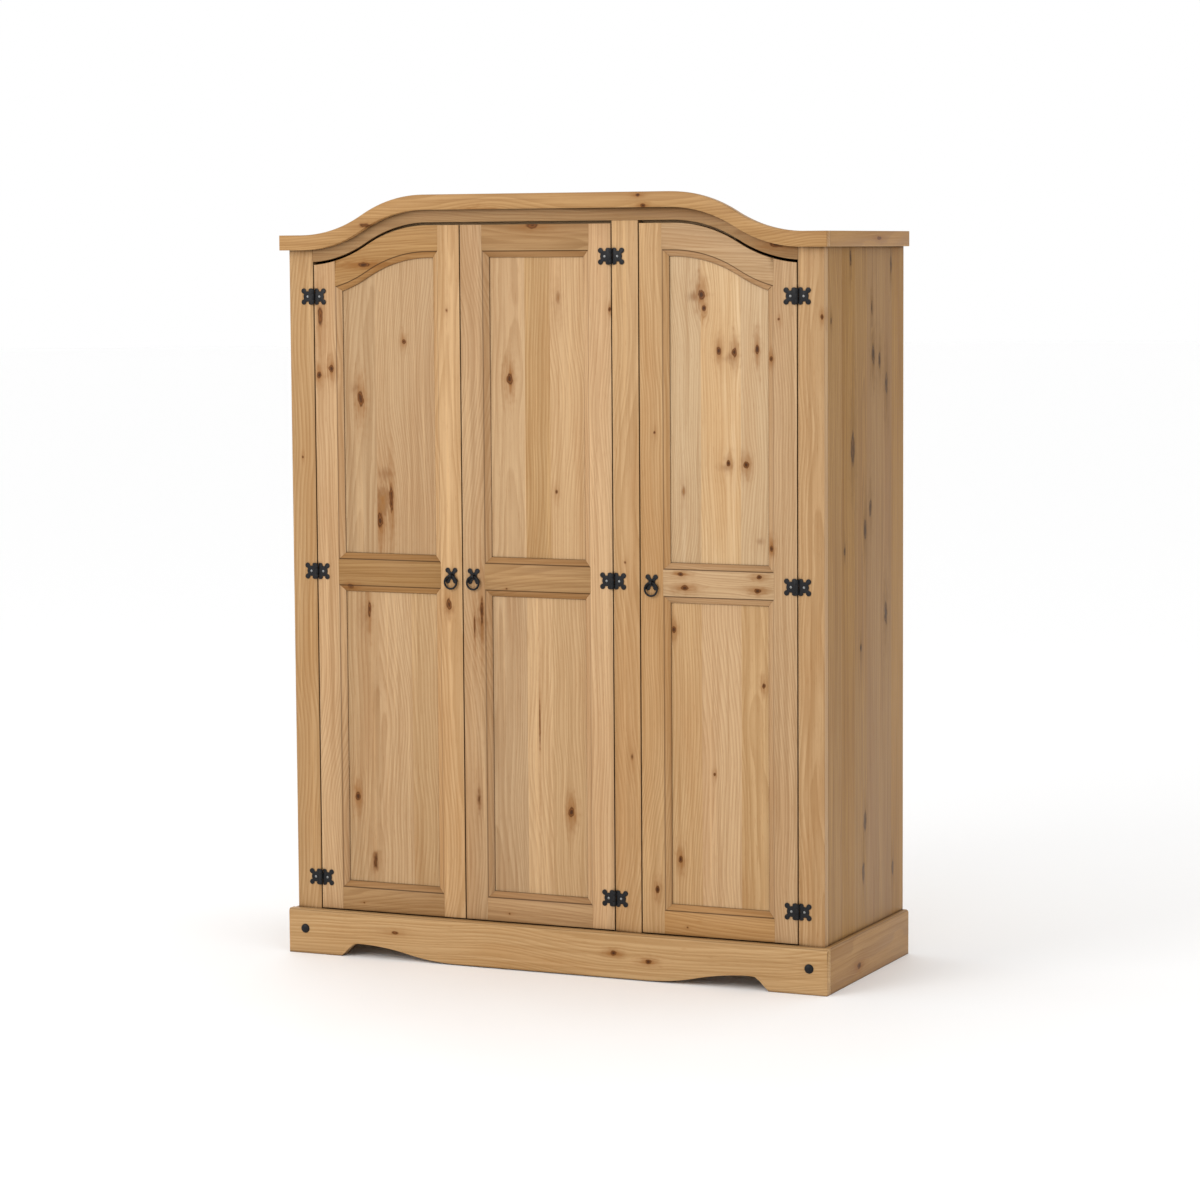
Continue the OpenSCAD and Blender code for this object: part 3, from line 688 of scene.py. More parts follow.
@dataclass(frozen=True)
class Board:
    """One wooden node: how its fibres run, what it is finished with and where its knots lie.

    Attributes:
        node: The CAD node.
        grain: How the fibres run.
        finish: The pine's tone.
        seed: Start of everything that chance decides on it.
        knots: Its knots, or none for chance ones.
        joints: Glue lines between staves, in millimetres across.
        tones: How bright the board or each of its staves is against the finish.
        body: The body that it moves with.
        edge: Radius that its edges are eased to, in millimetres.
        moulding: Depth of the moulding along its edge, or 0 for a plain board, in millimetres.
        moulding_stain: How strongly painted shade darkens the moulding's slope and the lines along it.
        stave_step: What sets the seeds of neighbouring staves apart.
        bump_strength: How strongly the grain can be felt.
        bump_depth: Depth of the grain, in millimetres.
        specular: How strongly the wax reflects.
    """

    node: str
    grain: Grain
    finish: PineFinish
    seed: float
    knots: tuple[Knot, ...] = ()
    joints: tuple[float, ...] = ()
    tones: tuple[float, ...] = (1.0,)
    body: str = "carcass"
    edge: float = 0.9
    moulding: float = 0.0
    moulding_stain: float = 1.0
    stave_step: float = 1.31
    bump_strength: float = 0.28
    bump_depth: float = 0.3
    specular: float = 0.14

    def chance_knots(self, span: Vector) -> tuple[Knot, ...]:
        """Scatters a few knots over a board that has none of its own.

        Args:
            span: The board's size across, into its thickness and along, in metres.

        Returns:
            The knots.
        """
        luck = random.Random(self.node + str(self.seed))
        count = min(6, round(span.z / 0.42 * max(1.0, span.x / 0.3)))
        return tuple(
            Knot(luck.uniform(0.1, 0.9) * span.x / MM, luck.uniform(0.05, 0.95) * span.z / MM,
                 luck.uniform(3.5, 8.0), luck.uniform(1.0, 2.0), luck.uniform(0.6, 1.0))
            for _ in range(count))

    def moulding_masks(self, wire: Wiring, place: Socket) -> tuple[object, object]:
        """Finds where painted shade goes on the moulding, by depth behind the front: its slope, and two lines
        along its top edge and its crease.

        Args:
            wire: The material's wiring.
            place: The place from the board's low corner.

        Returns:
            The strength of the painted shade on the slope and on the lines.
        """
        if not self.moulding:
            return 0.0, 0.0
        # Painted shade on the moulding: the slope, a line along its top edge and a line in the crease where
        # it meets the panel.
        depth = wire.math("DIVIDE", wire.split(place)[1], MM)
        facing = wire.math("ABSOLUTE", wire.split(wire.coordinates("Normal"))[1])
        front = wire.times(wire.math("GREATER_THAN", facing, 0.5),
                           wire.math("LESS_THAN", depth, self.moulding + 3.0), self.moulding_stain)
        slope = wire.times(wire.ease(depth, 0.1, 0.9), front)
        upper = wire.times(wire.ease(depth, 0.05, 0.5), wire.ease(depth, 1.1, 2.0, 1.0, 0.0))
        lower = wire.ease(depth, self.moulding - 1.5, self.moulding - 0.5)
        return slope, wire.times(wire.most(upper, lower), front)

    def bent_fibres(self, wire: Wiring, place: Socket, span: Vector) -> dict[str, object]:
        """Chains the board's knots, each of which bends the fibres.

        Args:
            wire: The material's wiring.
            place: The place from the board's low corner.
            span: The board's size, in metres.

        Returns:
            The fibres' place and the knots' strengths, by the names of the timber group's inputs.
        """
        carried: dict[str, object] = {"Fibre": place, "Core": 0.0, "Halo": 0.0, "Pale": 0.0}
        for knot in self.knots or self.chance_knots(span):
            part = wire.node("ShaderNodeGroup", node_tree=knot_group())
            wire.feed_all(part, {
                **carried, "Place": place, "Burr": knot.burr, "Across": knot.across * MM,
                "Along": knot.along * MM, "Radius": knot.radius * MM, "Stretch": knot.stretch,
                "Strength": knot.strength, "Low": knot.within[0] * MM, "High": knot.within[1] * MM})
            carried = {name: part.outputs[name] for name in carried}
        return carried

    def staves(self, wire: Wiring, across: Socket) -> tuple[object, object]:
        """Gives each stave between two glue lines its own seed and tone.

        Args:
            wire: The material's wiring.
            across: The place across the board.

        Returns:
            The seed and the tone.
        """
        tones = self.tones if len(self.tones) > 1 else self.tones * (len(self.joints) + 1)
        seed: object = self.seed
        tone: object = tones[0]
        for joint, before, after in zip(self.joints, tones, tones[1:]):
            beyond = wire.math("GREATER_THAN", across, joint * MM)
            seed = wire.scaled(beyond, self.stave_step, seed)
            tone = wire.scaled(beyond, after - before, tone)
        return seed, tone

    def material(self) -> bpy.types.Material:
        """Builds the board's own material from the shared wood pattern.

        Returns:
            The material.
        """
        made, wire, inputs = new_material("pine " + self.node)
        low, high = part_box(self.node)
        axes = ["XYZ".index(letter) for letter in self.grain.value]
        span = Vector([high[axis] - low[axis] for axis in axes])
        spot = wire.split(wire.coordinates("Object"))
        place = wire.vector(*[wire.minus(spot[axis], low[axis]) for axis in axes])
        seed, tone = self.staves(wire, wire.split(place)[0])
        slope, line = self.moulding_masks(wire, place)
        timber = wire.node("ShaderNodeGroup", node_tree=self.finish.timber_group())
        wire.feed_all(timber, {**self.bent_fibres(wire, place, span), "Seed": seed, "Middle": span.x / 2,
                               "Tone": tone, "Slope": slope, "Line": line})
        wire.feed(inputs["Base Color"], timber.outputs["Colour"])
        wire.feed(inputs["Roughness"], timber.outputs["Roughness"])
        wire.feed(inputs["Normal"], wire.bump(timber.outputs["Height"], self.bump_strength, self.bump_depth))
        inputs["Specular IOR Level"].default_value = self.specular
        return made

    def build(self, nodes: dict[str, Object]) -> None:
        """Makes the board with eased edges and dresses it.

        Args:
            nodes: The CAD nodes by name.
        """
        piece = eased_copy(nodes[self.node], self.node + "_board", self.edge)
        piece.data.materials.append(self.material())
        seat(piece, self.body, self.finish.slot, self.node)


def seat(piece: Object, body: str, slot: str, *replaced: str) -> None:
    """Ties a finished piece to its body and hides the nodes that it stands for.

    Args:
        piece: The finished object.
        body: The body that it moves with.
        slot: The record's material slot; not used.
        *replaced: CAD nodes that it stands for.
    """
    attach(piece, body)
    if replaced:
        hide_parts(*replaced)
    LOG.info("%s: %d faces on %s", piece.name, len(piece.data.polygons), body)


def eased_copy(source: Object, name: str, edge: float, shortest: float = 4.0) -> Object:
    """Copies a CAD node, joins its triangles into faces and rounds its long edges a little.

    Args:
        source: The CAD node.
        name: The new object's name.
        edge: Width of the rounding, in millimetres.
        shortest: Edges shorter than this stay sharp, in millimetres.

    Returns:
        The new object.
    """
    mesh = bpy.data.meshes.new(name)
    shape = bmesh.new()
    shape.from_mesh(source.data)
    bmesh.ops.remove_doubles(shape, verts=shape.verts, dist=MERGE_REACH)
    bmesh.ops.dissolve_limit(shape, angle_limit=math.radians(0.4), verts=shape.verts, edges=shape.edges)
    weight = shape.edges.layers.float.new("bevel_weight_edge")
    for line in shape.edges:
        bent = len(line.link_faces) == 2 and line.calc_face_angle() > math.radians(30)
        line[weight] = 1.0 if bent and line.calc_length() > shortest * MM else 0.0
        line.smooth = not bent or line[weight] > 0
    for face in shape.faces:
        face.smooth = True
        face.material_index = 0
    shape.to_mesh(mesh)
    shape.free()
    piece = add_object(name, mesh)
    bevel = piece.modifiers.new("eased edges", "BEVEL")
    bevel.width = edge * MM
    bevel.segments = 2
    bevel.limit_method = "WEIGHT"
    bevel.use_clamp_overlap = False
    bevel.harden_normals = True
    return piece


def solids(source: Object) -> list[Corner]:
    """Finds the separate solids of a CAD node.

    Args:
        source: The CAD node.

    Returns:
        The lowest and highest corner of each solid, from the lowest solid up.
    """
    shape = bmesh.new()
    shape.from_mesh(source.data)
    bmesh.ops.remove_doubles(shape, verts=shape.verts, dist=MERGE_REACH)
    waiting = set(shape.verts)
    found: list[Corner] = []
    while waiting:
        front = [waiting.pop()]
        island = [front[0].co.copy()]
        while front:
            for line in front.pop().link_edges:
                for point in line.verts:
                    if point in waiting:
                        waiting.remove(point)
                        front.append(point)
                        island.append(point.co.copy())
        low = Vector([min(spot[axis] for spot in island) for axis in range(3)])
        high = Vector([max(spot[axis] for spot in island) for axis in range(3)])
        found.append((low, high))
    shape.free()
    return sorted(found, key=lambda pair: (round(pair[0].z, 4), pair[0].x))


def points_object(name: str, spots: list[Vector]) -> Object:
    """Makes an object with one loose point at each place.

    Args:
        name: The object's name.
        spots: The places.

    Returns:
        The object.
    """
    mesh = bpy.data.meshes.new(name)
    mesh.from_pydata([tuple(spot) for spot in spots], [], [])
    return add_object(name, mesh)


def grow(seeds: Object, tree: bpy.types.NodeTree, sizes: dict[str, object], name: str) -> Object:
    """Runs a Geometry Nodes tree on an object and keeps the result as a plain mesh.

    Args:
        seeds: The object that the tree starts from.
        tree: The tree.
        sizes: Values of the tree's named inputs.
        name: The finished object's name.

    Returns:
        The finished object, which replaces the one that the tree started from.
    """
    modifier = seeds.modifiers.new(tree.name, "NODES")
    modifier.node_group = tree
    for socket in tree.interface.items_tree:
        if socket.item_type == "SOCKET" and socket.in_out == "INPUT" and socket.name in sizes:
            modifier[socket.identifier] = sizes[socket.name]
    graph = bpy.context.evaluated_depsgraph_get()
    mesh = bpy.data.meshes.new_from_object(seeds.evaluated_get(graph))
    seeds.modifiers.clear()
    bpy.data.objects.remove(seeds)
    mesh.name = name
    return add_object(name, mesh)


@dataclass(frozen=True)
class MetalFinish:
    """A metal or plastic surface with fine unevenness.

    Attributes:
        name: What it is called.
        slot: The record's material slot.
        colour: Its colour.
        spots: Colour of its faint patches.
        metallic: How metallic it is.
        roughness: Its mean roughness.
        spread: How far the roughness varies.
        lump: Size of the surface's unevenness, in millimetres.
        relief: Depth of the unevenness, in millimetres.
        specular: How strongly its surface reflects.
        bump_strength: How strongly its unevenness shows.
    """

    name: str
    slot: str
    colour: Rgb
    spots: Rgb
    metallic: float
    roughness: float
    spread: float
    lump: float
    relief: float
    specular: float = 0.5
    bump_strength: float = 0.6

    def material(self) -> bpy.types.Material:
        """Builds the material once, or finds it again.

        Returns:
            The material.
        """
        if self.name in bpy.data.materials:
            return bpy.data.materials[self.name]
        made, wire, inputs = new_material(self.name)
        spot = wire.coordinates("Object")
        coarse = wire.noise(spot, 1.0 / (self.lump * MM), 2.0)
        fine = wire.noise(spot, 6.0 / (self.lump * MM), 3.0, 0.6)
        colour = wire.blend(wire.ease(fine, 0.35, 0.75), linear(self.colour), linear(self.spots))
        wire.feed(inputs["Base Color"], colour)
        wire.feed(inputs["Roughness"], wire.scaled(fine, self.spread * 2, self.roughness - self.spread))
        height = wire.scaled(fine, 0.3, coarse)
        wire.feed(inputs["Normal"], wire.bump(height, self.bump_strength, self.relief))
        inputs["Metallic"].default_value = self.metallic
        inputs["Specular IOR Level"].default_value = self.specular
        return made


FACE_PINE = PineFinish("face pine", "pine_frame", (186, 151, 110), (152, 114, 72), (166, 124, 80))
# The sides are darker partly by their own tone and partly by painted shade, as they face away from the light.
SIDE_PINE_WITH_SHADE = PineFinish("side pine", "pine_frame", (160, 122, 72), (124, 87, 45), (140, 99, 54),
                       heart=(104, 70, 30), rim=(60, 40, 18), halo=(122, 86, 40), pale=(172, 132, 84),
                       line_stain=0.0)
RAIL_PINE = PineFinish("rail pine", "pine_rail", (172, 135, 92), (138, 100, 60), (151, 111, 68),
                       pale=(184, 147, 102))
LIGHT_RAIL_PINE = PineFinish("light rail pine", "pine_rail", (186, 152, 110), (152, 115, 73), (166, 125, 80),
                             pale=(200, 166, 124))
PANEL_PINE = PineFinish("panel pine", "pine_panel", (188, 154, 113), (154, 116, 74), (167, 125, 82))
PALE_PINE = PineFinish("pale panel pine", "pine_panel", (196, 167, 130), (164, 129, 90), (180, 141, 99),
                       pale=(208, 181, 146))
PLAIN_PINE = PineFinish("plain pine", "pine_inner", (198, 165, 122), (168, 131, 89), (180, 142, 98),
                        pale=(212, 180, 138), corner_stain=0.35, edge_stain=0.25)
BLACK_IRON = MetalFinish("black iron", "black_iron", (12, 12, 14), (24, 24, 27), 0.1, 0.44, 0.12,
                         2.6, 0.14, 0.26)
BRIGHT_STEEL = MetalFinish("bright steel", "screw_steel", (150, 150, 148), (112, 112, 112), 1.0, 0.42, 0.08,
                           1.2, 0.02)
POLISHED_CHROME = MetalFinish("polished chrome", "rail_chrome", (214, 216, 218), (196, 198, 202), 1.0, 0.12,
                              0.04, 9.0, 0.01)
BROWN_PLASTIC = MetalFinish("brown plastic", "catch_plastic", (96, 62, 36), (82, 52, 30), 0.0, 0.48, 0.06,
                            0.9, 0.02)


def head_tree(slotted: bool) -> bpy.types.NodeTree:
    """Builds the tree that sets a domed head on every point.

    Args:
        slotted: Whether a slot is cut into the heads.

    Returns:
        The tree.
    """
    title = "slotted heads" if slotted else "domed heads"
    if title in bpy.data.node_groups:
        return bpy.data.node_groups[title]
    wire = new_group(title, "Geometry", {"Geometry": "Geometry", "Float": "Radius, Rise, Slot width",
                                         "Material": "Finish"}, {"Geometry": "Geometry"})
    given = wire.node("NodeGroupInput").outputs
    ball = wire.node("GeometryNodeMeshUVSphere")
    wire.feed_all(ball, {"Segments": 32, "Rings": 16, "Radius": given["Radius"]})
    squashed = wire.node("GeometryNodeTransform")
    flat = wire.math("DIVIDE", given["Rise"], given["Radius"])
    wire.feed_all(squashed, {"Geometry": ball.outputs["Mesh"], "Scale": wire.vector(1.0, 1.0, flat)})
    head = squashed.outputs[0]
    if slotted:
        bar = wire.node("GeometryNodeMeshCube")
        wire.feed(bar.inputs["Size"], wire.vector(wire.times(given["Radius"], 3.0),
                                                  given["Slot width"], given["Rise"]))
        raised = wire.node("GeometryNodeTransform")
        wire.feed_all(raised, {"Geometry": bar.outputs["Mesh"],
                               "Translation": wire.vector(0.0, 0.0, given["Rise"])})
        cut = wire.node("GeometryNodeMeshBoolean", operation="DIFFERENCE")
        wire.feed(cut.inputs["Mesh 1"], head)
        wire.feed(cut.inputs["Mesh 2"], raised.outputs[0])
        head = cut.outputs["Mesh"]
    turn = wire.node("FunctionNodeRandomValue", data_type="FLOAT")
    turn.inputs["Min"].default_value = 0.0
    turn.inputs["Max"].default_value = math.pi
    turn.inputs["Seed"].default_value = 7
    angle = next(socket for socket in turn.outputs if socket.type == "VALUE" and socket.enabled)
    spun = wire.node("FunctionNodeEulerToRotation")
    wire.feed(spun.inputs[0], wire.vector(math.pi / 2, angle, 0.0))
    placed = wire.node("GeometryNodeInstanceOnPoints")
    wire.feed_all(placed, {"Points": given["Geometry"], "Instance": head, "Rotation": spun.outputs[0]})
    finish_tree(wire, placed.outputs[0], given["Finish"])
    return wire.tree


def ring_tree() -> bpy.types.NodeTree:
    """Builds the tree that forges a hanging ring from two circles.

    Returns:
        The tree.
    """
    title = "forged ring"
    if title in bpy.data.node_groups:
        return bpy.data.node_groups[title]
    wire = new_group(title, "Geometry",
                     {"Geometry": "Geometry", "Float": "Ring radius, Stock radius, Hammering",
                      "Material": "Finish"}, {"Geometry": "Geometry"})
    given = wire.node("NodeGroupInput").outputs
    circle = wire.node("GeometryNodeCurvePrimitiveCircle")
    wire.feed_all(circle, {"Resolution": 72, "Radius": given["Ring radius"]})
    stock = wire.node("GeometryNodeCurvePrimitiveCircle")
    wire.feed_all(stock, {"Resolution": 20, "Radius": given["Stock radius"]})
    swept = wire.node("GeometryNodeCurveToMesh")
    wire.feed_all(swept, {"Curve": circle.outputs["Curve"], "Profile Curve": stock.outputs["Curve"]})
    dents = wire.noise(wire.node("GeometryNodeInputPosition").outputs[0], 260.0)
    outward = wire.node("ShaderNodeVectorMath", operation="SCALE")
    wire.feed(outward.inputs[0], wire.node("GeometryNodeInputNormal").outputs[0])
    wire.feed(outward.inputs["Scale"], wire.times(wire.minus(dents, 0.75), given["Hammering"]))
    dented = wire.node("GeometryNodeSetPosition")
    wire.feed_all(dented, {"Geometry": swept.outputs[0], "Offset": outward.outputs[0]})
    upright = wire.node("FunctionNodeEulerToRotation")
    upright.inputs[0].default_value = (math.pi / 2, 0.0, 0.0)
    placed = wire.node("GeometryNodeInstanceOnPoints")
    wire.feed_all(placed, {"Points": given["Geometry"], "Instance": dented.outputs[0],
                           "Rotation": upright.outputs[0]})
    finish_tree(wire, placed.outputs[0], given["Finish"])
    return wire.tree


def finish_tree(wire: Wiring, shape: Socket, finish: Socket) -> None:
    """Ends a tree in real, smooth and finished geometry.

    Args:
        wire: The tree's wiring.
        shape: The instances that it made.
        finish: The material's socket.
    """
    real = wire.node("GeometryNodeRealizeInstances")
    wire.feed(real.inputs[0], shape)
    smooth = wire.node("GeometryNodeSetShadeSmooth")
    wire.feed(smooth.inputs["Geometry"], real.outputs[0])
    dressed = wire.node("GeometryNodeSetMaterial")
    wire.feed_all(dressed, {"Geometry": smooth.outputs[0], "Material": finish})
    wire.feed(wire.node("NodeGroupOutput").inputs[0], dressed.outputs[0])


@dataclass
class Fasteners:
    """The domed screw heads on the hinge leaves.

    Attributes:
        radius: Radius of a head, in millimetres.
        rise: Height of a head, in millimetres.
        slot_width: Width of its slot, in millimetres.
        from_pin: Distance of a screw from the hinge pin, in millimetres.
        leaf: Thickness of a hinge leaf, in millimetres.
    """

    radius: float = 3.2
    rise: float = 1.4
    slot_width: float = 0.9
    from_pin: float = 16.5
    leaf: float = 1.8

    def heads(self, spots: list[Vector], name: str) -> Object:
        """Sets a slotted head on each place.

        Args:
            spots: Where the screws meet the leaves.
            name: The object's name.

        Returns:
            The heads as one object.
        """
        return grow(points_object(name + "_seats", spots), head_tree(True),
                    {"Radius": self.radius * MM, "Rise": self.rise * MM, "Slot width": self.slot_width * MM,
                     "Finish": BRIGHT_STEEL.material()}, name)

    def spots(self, leaves: Object, pin_x: float, way: int, face: float) -> list[Vector]:
        """Works out where the screws of one leaf side are.

        Args:
            leaves: The CAD node of the hinge leaves, which gives the heights.
            pin_x: The hinge pin's place along X.
            way: The side of the pin that the leaves are on.
            face: The wood's front face.

        Returns:
            The places.
        """
        return [Vector((pin_x + way * self.from_pin * MM, face - self.leaf * MM, (low.z + high.z) / 2))
                for low, high in solids(leaves)]


def flat_plate(low: Vector, high: Vector, corner: float) -> Shape:
    """Makes a thin plate in the XZ plane with rounded corners.

    Args:
        low: Its lowest corner.
        high: Its highest corner.
        corner: Radius of its corners, in millimetres.

    Returns:
        The plate's mesh, which the caller frees.
    """
    shape = bmesh.new()
    bmesh.ops.create_cube(shape, size=1.0)
    bmesh.ops.scale(shape, vec=high - low, verts=shape.verts)
    bmesh.ops.translate(shape, vec=(low + high) / 2, verts=shape.verts)
    upright = [line for line in shape.edges
               if abs((line.verts[0].co - line.verts[1].co).normalized().y) > 0.9]
    bmesh.ops.bevel(shape, geom=upright, offset=corner * MM, segments=5, affect="EDGES", profile=0.5)
    return shape


def hex_nut(centre: Vector, width: float, thick: float) -> Shape:
    """Makes a six-sided nut whose axis is along Y, with its corners taken off.

    Args:
        centre: The middle of its front face.
        width: Distance between opposite corners, in metres.
        thick: Its thickness, in metres.

    Returns:
        The nut's mesh, which the caller frees.
    """
    shape = bmesh.new()
    bmesh.ops.create_cone(shape, cap_ends=True, segments=6, radius1=width / 2, radius2=width / 2, depth=thick)
    bmesh.ops.rotate(shape, matrix=Matrix.Rotation(math.radians(90), 3, "X"), verts=shape.verts)
    bmesh.ops.translate(shape, vec=centre + Vector((0, thick / 2, 0)), verts=shape.verts)
    bmesh.ops.bevel(shape, geom=list(shape.edges), offset=width * 0.04, segments=2, affect="EDGES",
                    profile=0.5)
    return shape


def join_shapes(piece: Object, shapes: list[Shape]) -> None:
    """Adds meshes to a piece, with its first material.

    Args:
        piece: The piece that grows.
        shapes: The meshes, which are freed.
    """
    whole = bmesh.new()
    whole.from_mesh(piece.data)
    for shape in shapes:
        part = bpy.data.meshes.new("part")
        shape.to_mesh(part)
        shape.free()
        whole.from_mesh(part)
        bpy.data.meshes.remove(part)
    whole.to_mesh(piece.data)
    whole.free()


@dataclass
class Carcass:
    """The fixed outer woodwork with its hinge leaves and studs.

    Attributes:
        nodes: The CAD nodes by name.
        hinges: The joints of the doors.
        stud_radius: Radius of the plinth studs, in millimetres.
        stud_rise: Height of their domes, in millimetres.
    """

    nodes: dict[str, Object]
    hinges: dict[str, Vector]
    stud_radius: float = 11.5
    stud_rise: float = 5.0

    def boards(self) -> list[Board]:
        """Lists the carcass boards with their fibres and knots.

        Returns:
            The boards.
        """
        return [
            Board("side_right", Grain.UPRIGHT_SIDE, SIDE_PINE_WITH_SHADE, 21.0, SIDE_KNOTS, (92, 178, 262, 350, 436)),
            Board("side_left", Grain.UPRIGHT_SIDE, SIDE_PINE_WITH_SHADE, 27.0, (), (86, 190, 270, 362, 440)),
            Board("stile_left", Grain.UPRIGHT_FRONT, FACE_PINE, 3.0, (Knot(30, 1250, 4, 1.2, 0.4),),
                  tones=(0.9,)),
            Board("stile_right", Grain.UPRIGHT_FRONT, FACE_PINE, 5.0, (Knot(60, 1600, 4, 1.6, 0.8),)),
            Board("centre_post", Grain.UPRIGHT_FRONT, FACE_PINE, 8.0,
                  (Knot(30, 900, 4, 1.2, 0.3), Knot(46, 430, 5, 2.0, 0.3))),
            Board("bottom_rail", Grain.LEVEL_FRONT, RAIL_PINE, 9.0),
            Board("fascia", Grain.LEVEL_FRONT, RAIL_PINE, 11.0, (Knot(35, 1237, 8, 2.4, 0.8),), tones=(0.9,)),
            Board("cornice_front", Grain.LEVEL_FRONT, RAIL_PINE, 13.0, CORNICE_KNOTS, tones=(1.12,)),
            Board("cornice_sides", Grain.LEVEL_SIDE, RAIL_PINE, 15.0, (Knot(20, 330, 5, 3.0, 0.7),)),
            Board("plinth_front", Grain.LEVEL_FRONT, LIGHT_RAIL_PINE, 17.0,
                  (Knot(63, 897, 6, 1.4), Knot(49, 989, 6, 1.4), Knot(70, 300, 5, 2.5, 0.5)), tones=(0.98,)),
            Board("plinth_sides", Grain.LEVEL_SIDE, RAIL_PINE, 19.0, tones=(0.9,)),
            Board("head_stop", Grain.LEVEL_FRONT, PLAIN_PINE, 23.0),
            Board("top_board", Grain.SHELF, PLAIN_PINE, 25.0, (), (88, 176, 264, 352, 440)),
            Board("floor_bearers", Grain.LEVEL_SIDE, PLAIN_PINE, 29.0),
        ]

    def build(self) -> None:
        """Builds the boards, the fixed hinge leaves, the pins, the screws and the studs."""
        for board in self.boards():
            board.build(self.nodes)
        for node, edge in (("frame_hinge_leaves", 0.3), ("hinge_pins", 0.3)):
            piece = eased_copy(self.nodes[node], node + "_iron", edge, 0.3)
            piece.data.materials.append(BLACK_IRON.material())
            seat(piece, "carcass", BLACK_IRON.slot, node)
        self.build_screws()
        self.build_studs()

    def build_screws(self) -> None:
        """Sets the screw heads on the fixed hinge leaves."""
        sizes = Fasteners()
        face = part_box("stile_left")[0].y
        spots: list[Vector] = []
        for door in DoorPlace:
            leaves = self.nodes[f"door_{door.label}_hinge_leaves"]
            spots += sizes.spots(leaves, self.hinges[door.label].x, door.hinge_side, face)
        seat(sizes.heads(spots, "frame_screw_heads"), "carcass", BRIGHT_STEEL.slot, "frame_screws")

    def build_studs(self) -> None:
        """Sets the domed iron studs on the plinth."""
        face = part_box("plinth_front")[0].y
        spots = [Vector(((low.x + high.x) / 2, face, (low.z + high.z) / 2))
                 for low, high in solids(self.nodes["plinth_studs"])]
        studs = grow(points_object("stud_seats", spots), head_tree(False),
                     {"Radius": self.stud_radius * MM, "Rise": self.stud_rise * MM,
                      "Finish": BLACK_IRON.material()}, "plinth_stud_domes")
        seat(studs, "carcass", BLACK_IRON.slot, "plinth_studs")


@dataclass
class Interior:
    """Everything behind the doors: partition, shelves, battens, back, clothes rail and catches.

    Attributes:
        nodes: The CAD nodes by name.
    """

    nodes: dict[str, Object]

    def build(self) -> None:
        """Builds the boards, the rail and the catches."""
        boards = [
            Board("floor_board", Grain.SHELF, PLAIN_PINE, 31.0, (), (100, 205, 300, 400)),
            Board("partition", Grain.UPRIGHT_SIDE, PLAIN_PINE, 33.0, (), (96, 188, 290, 382)),
            Board("back_boards", Grain.UPRIGHT_FRONT, PLAIN_PINE, 35.0, (),
                  tuple(96.0 * step for step in range(1, 15))),
            Board("top_shelf", Grain.SHELF, PLAIN_PINE, 37.0, (), (94, 186, 292, 390)),
            Board("bay_shelves", Grain.SHELF, PLAIN_PINE, 39.0, (), (102, 198, 296, 388)),
            Board("shelf_cleats", Grain.LEVEL_SIDE, PLAIN_PINE, 41.0, edge=0.6),
        ]
        for board in boards:
            board.build(self.nodes)
        for node, finish, edge in (("hanging_rail", POLISHED_CHROME, 0.2),
                                   ("rail_sockets", POLISHED_CHROME, 0.4),
                                   ("door_catches", BROWN_PLASTIC, 1.2)):
            piece = eased_copy(self.nodes[node], node + "_fitting", edge, 0.5)
            piece.data.materials.append(finish.material())
            seat(piece, "carcass", finish.slot, node)


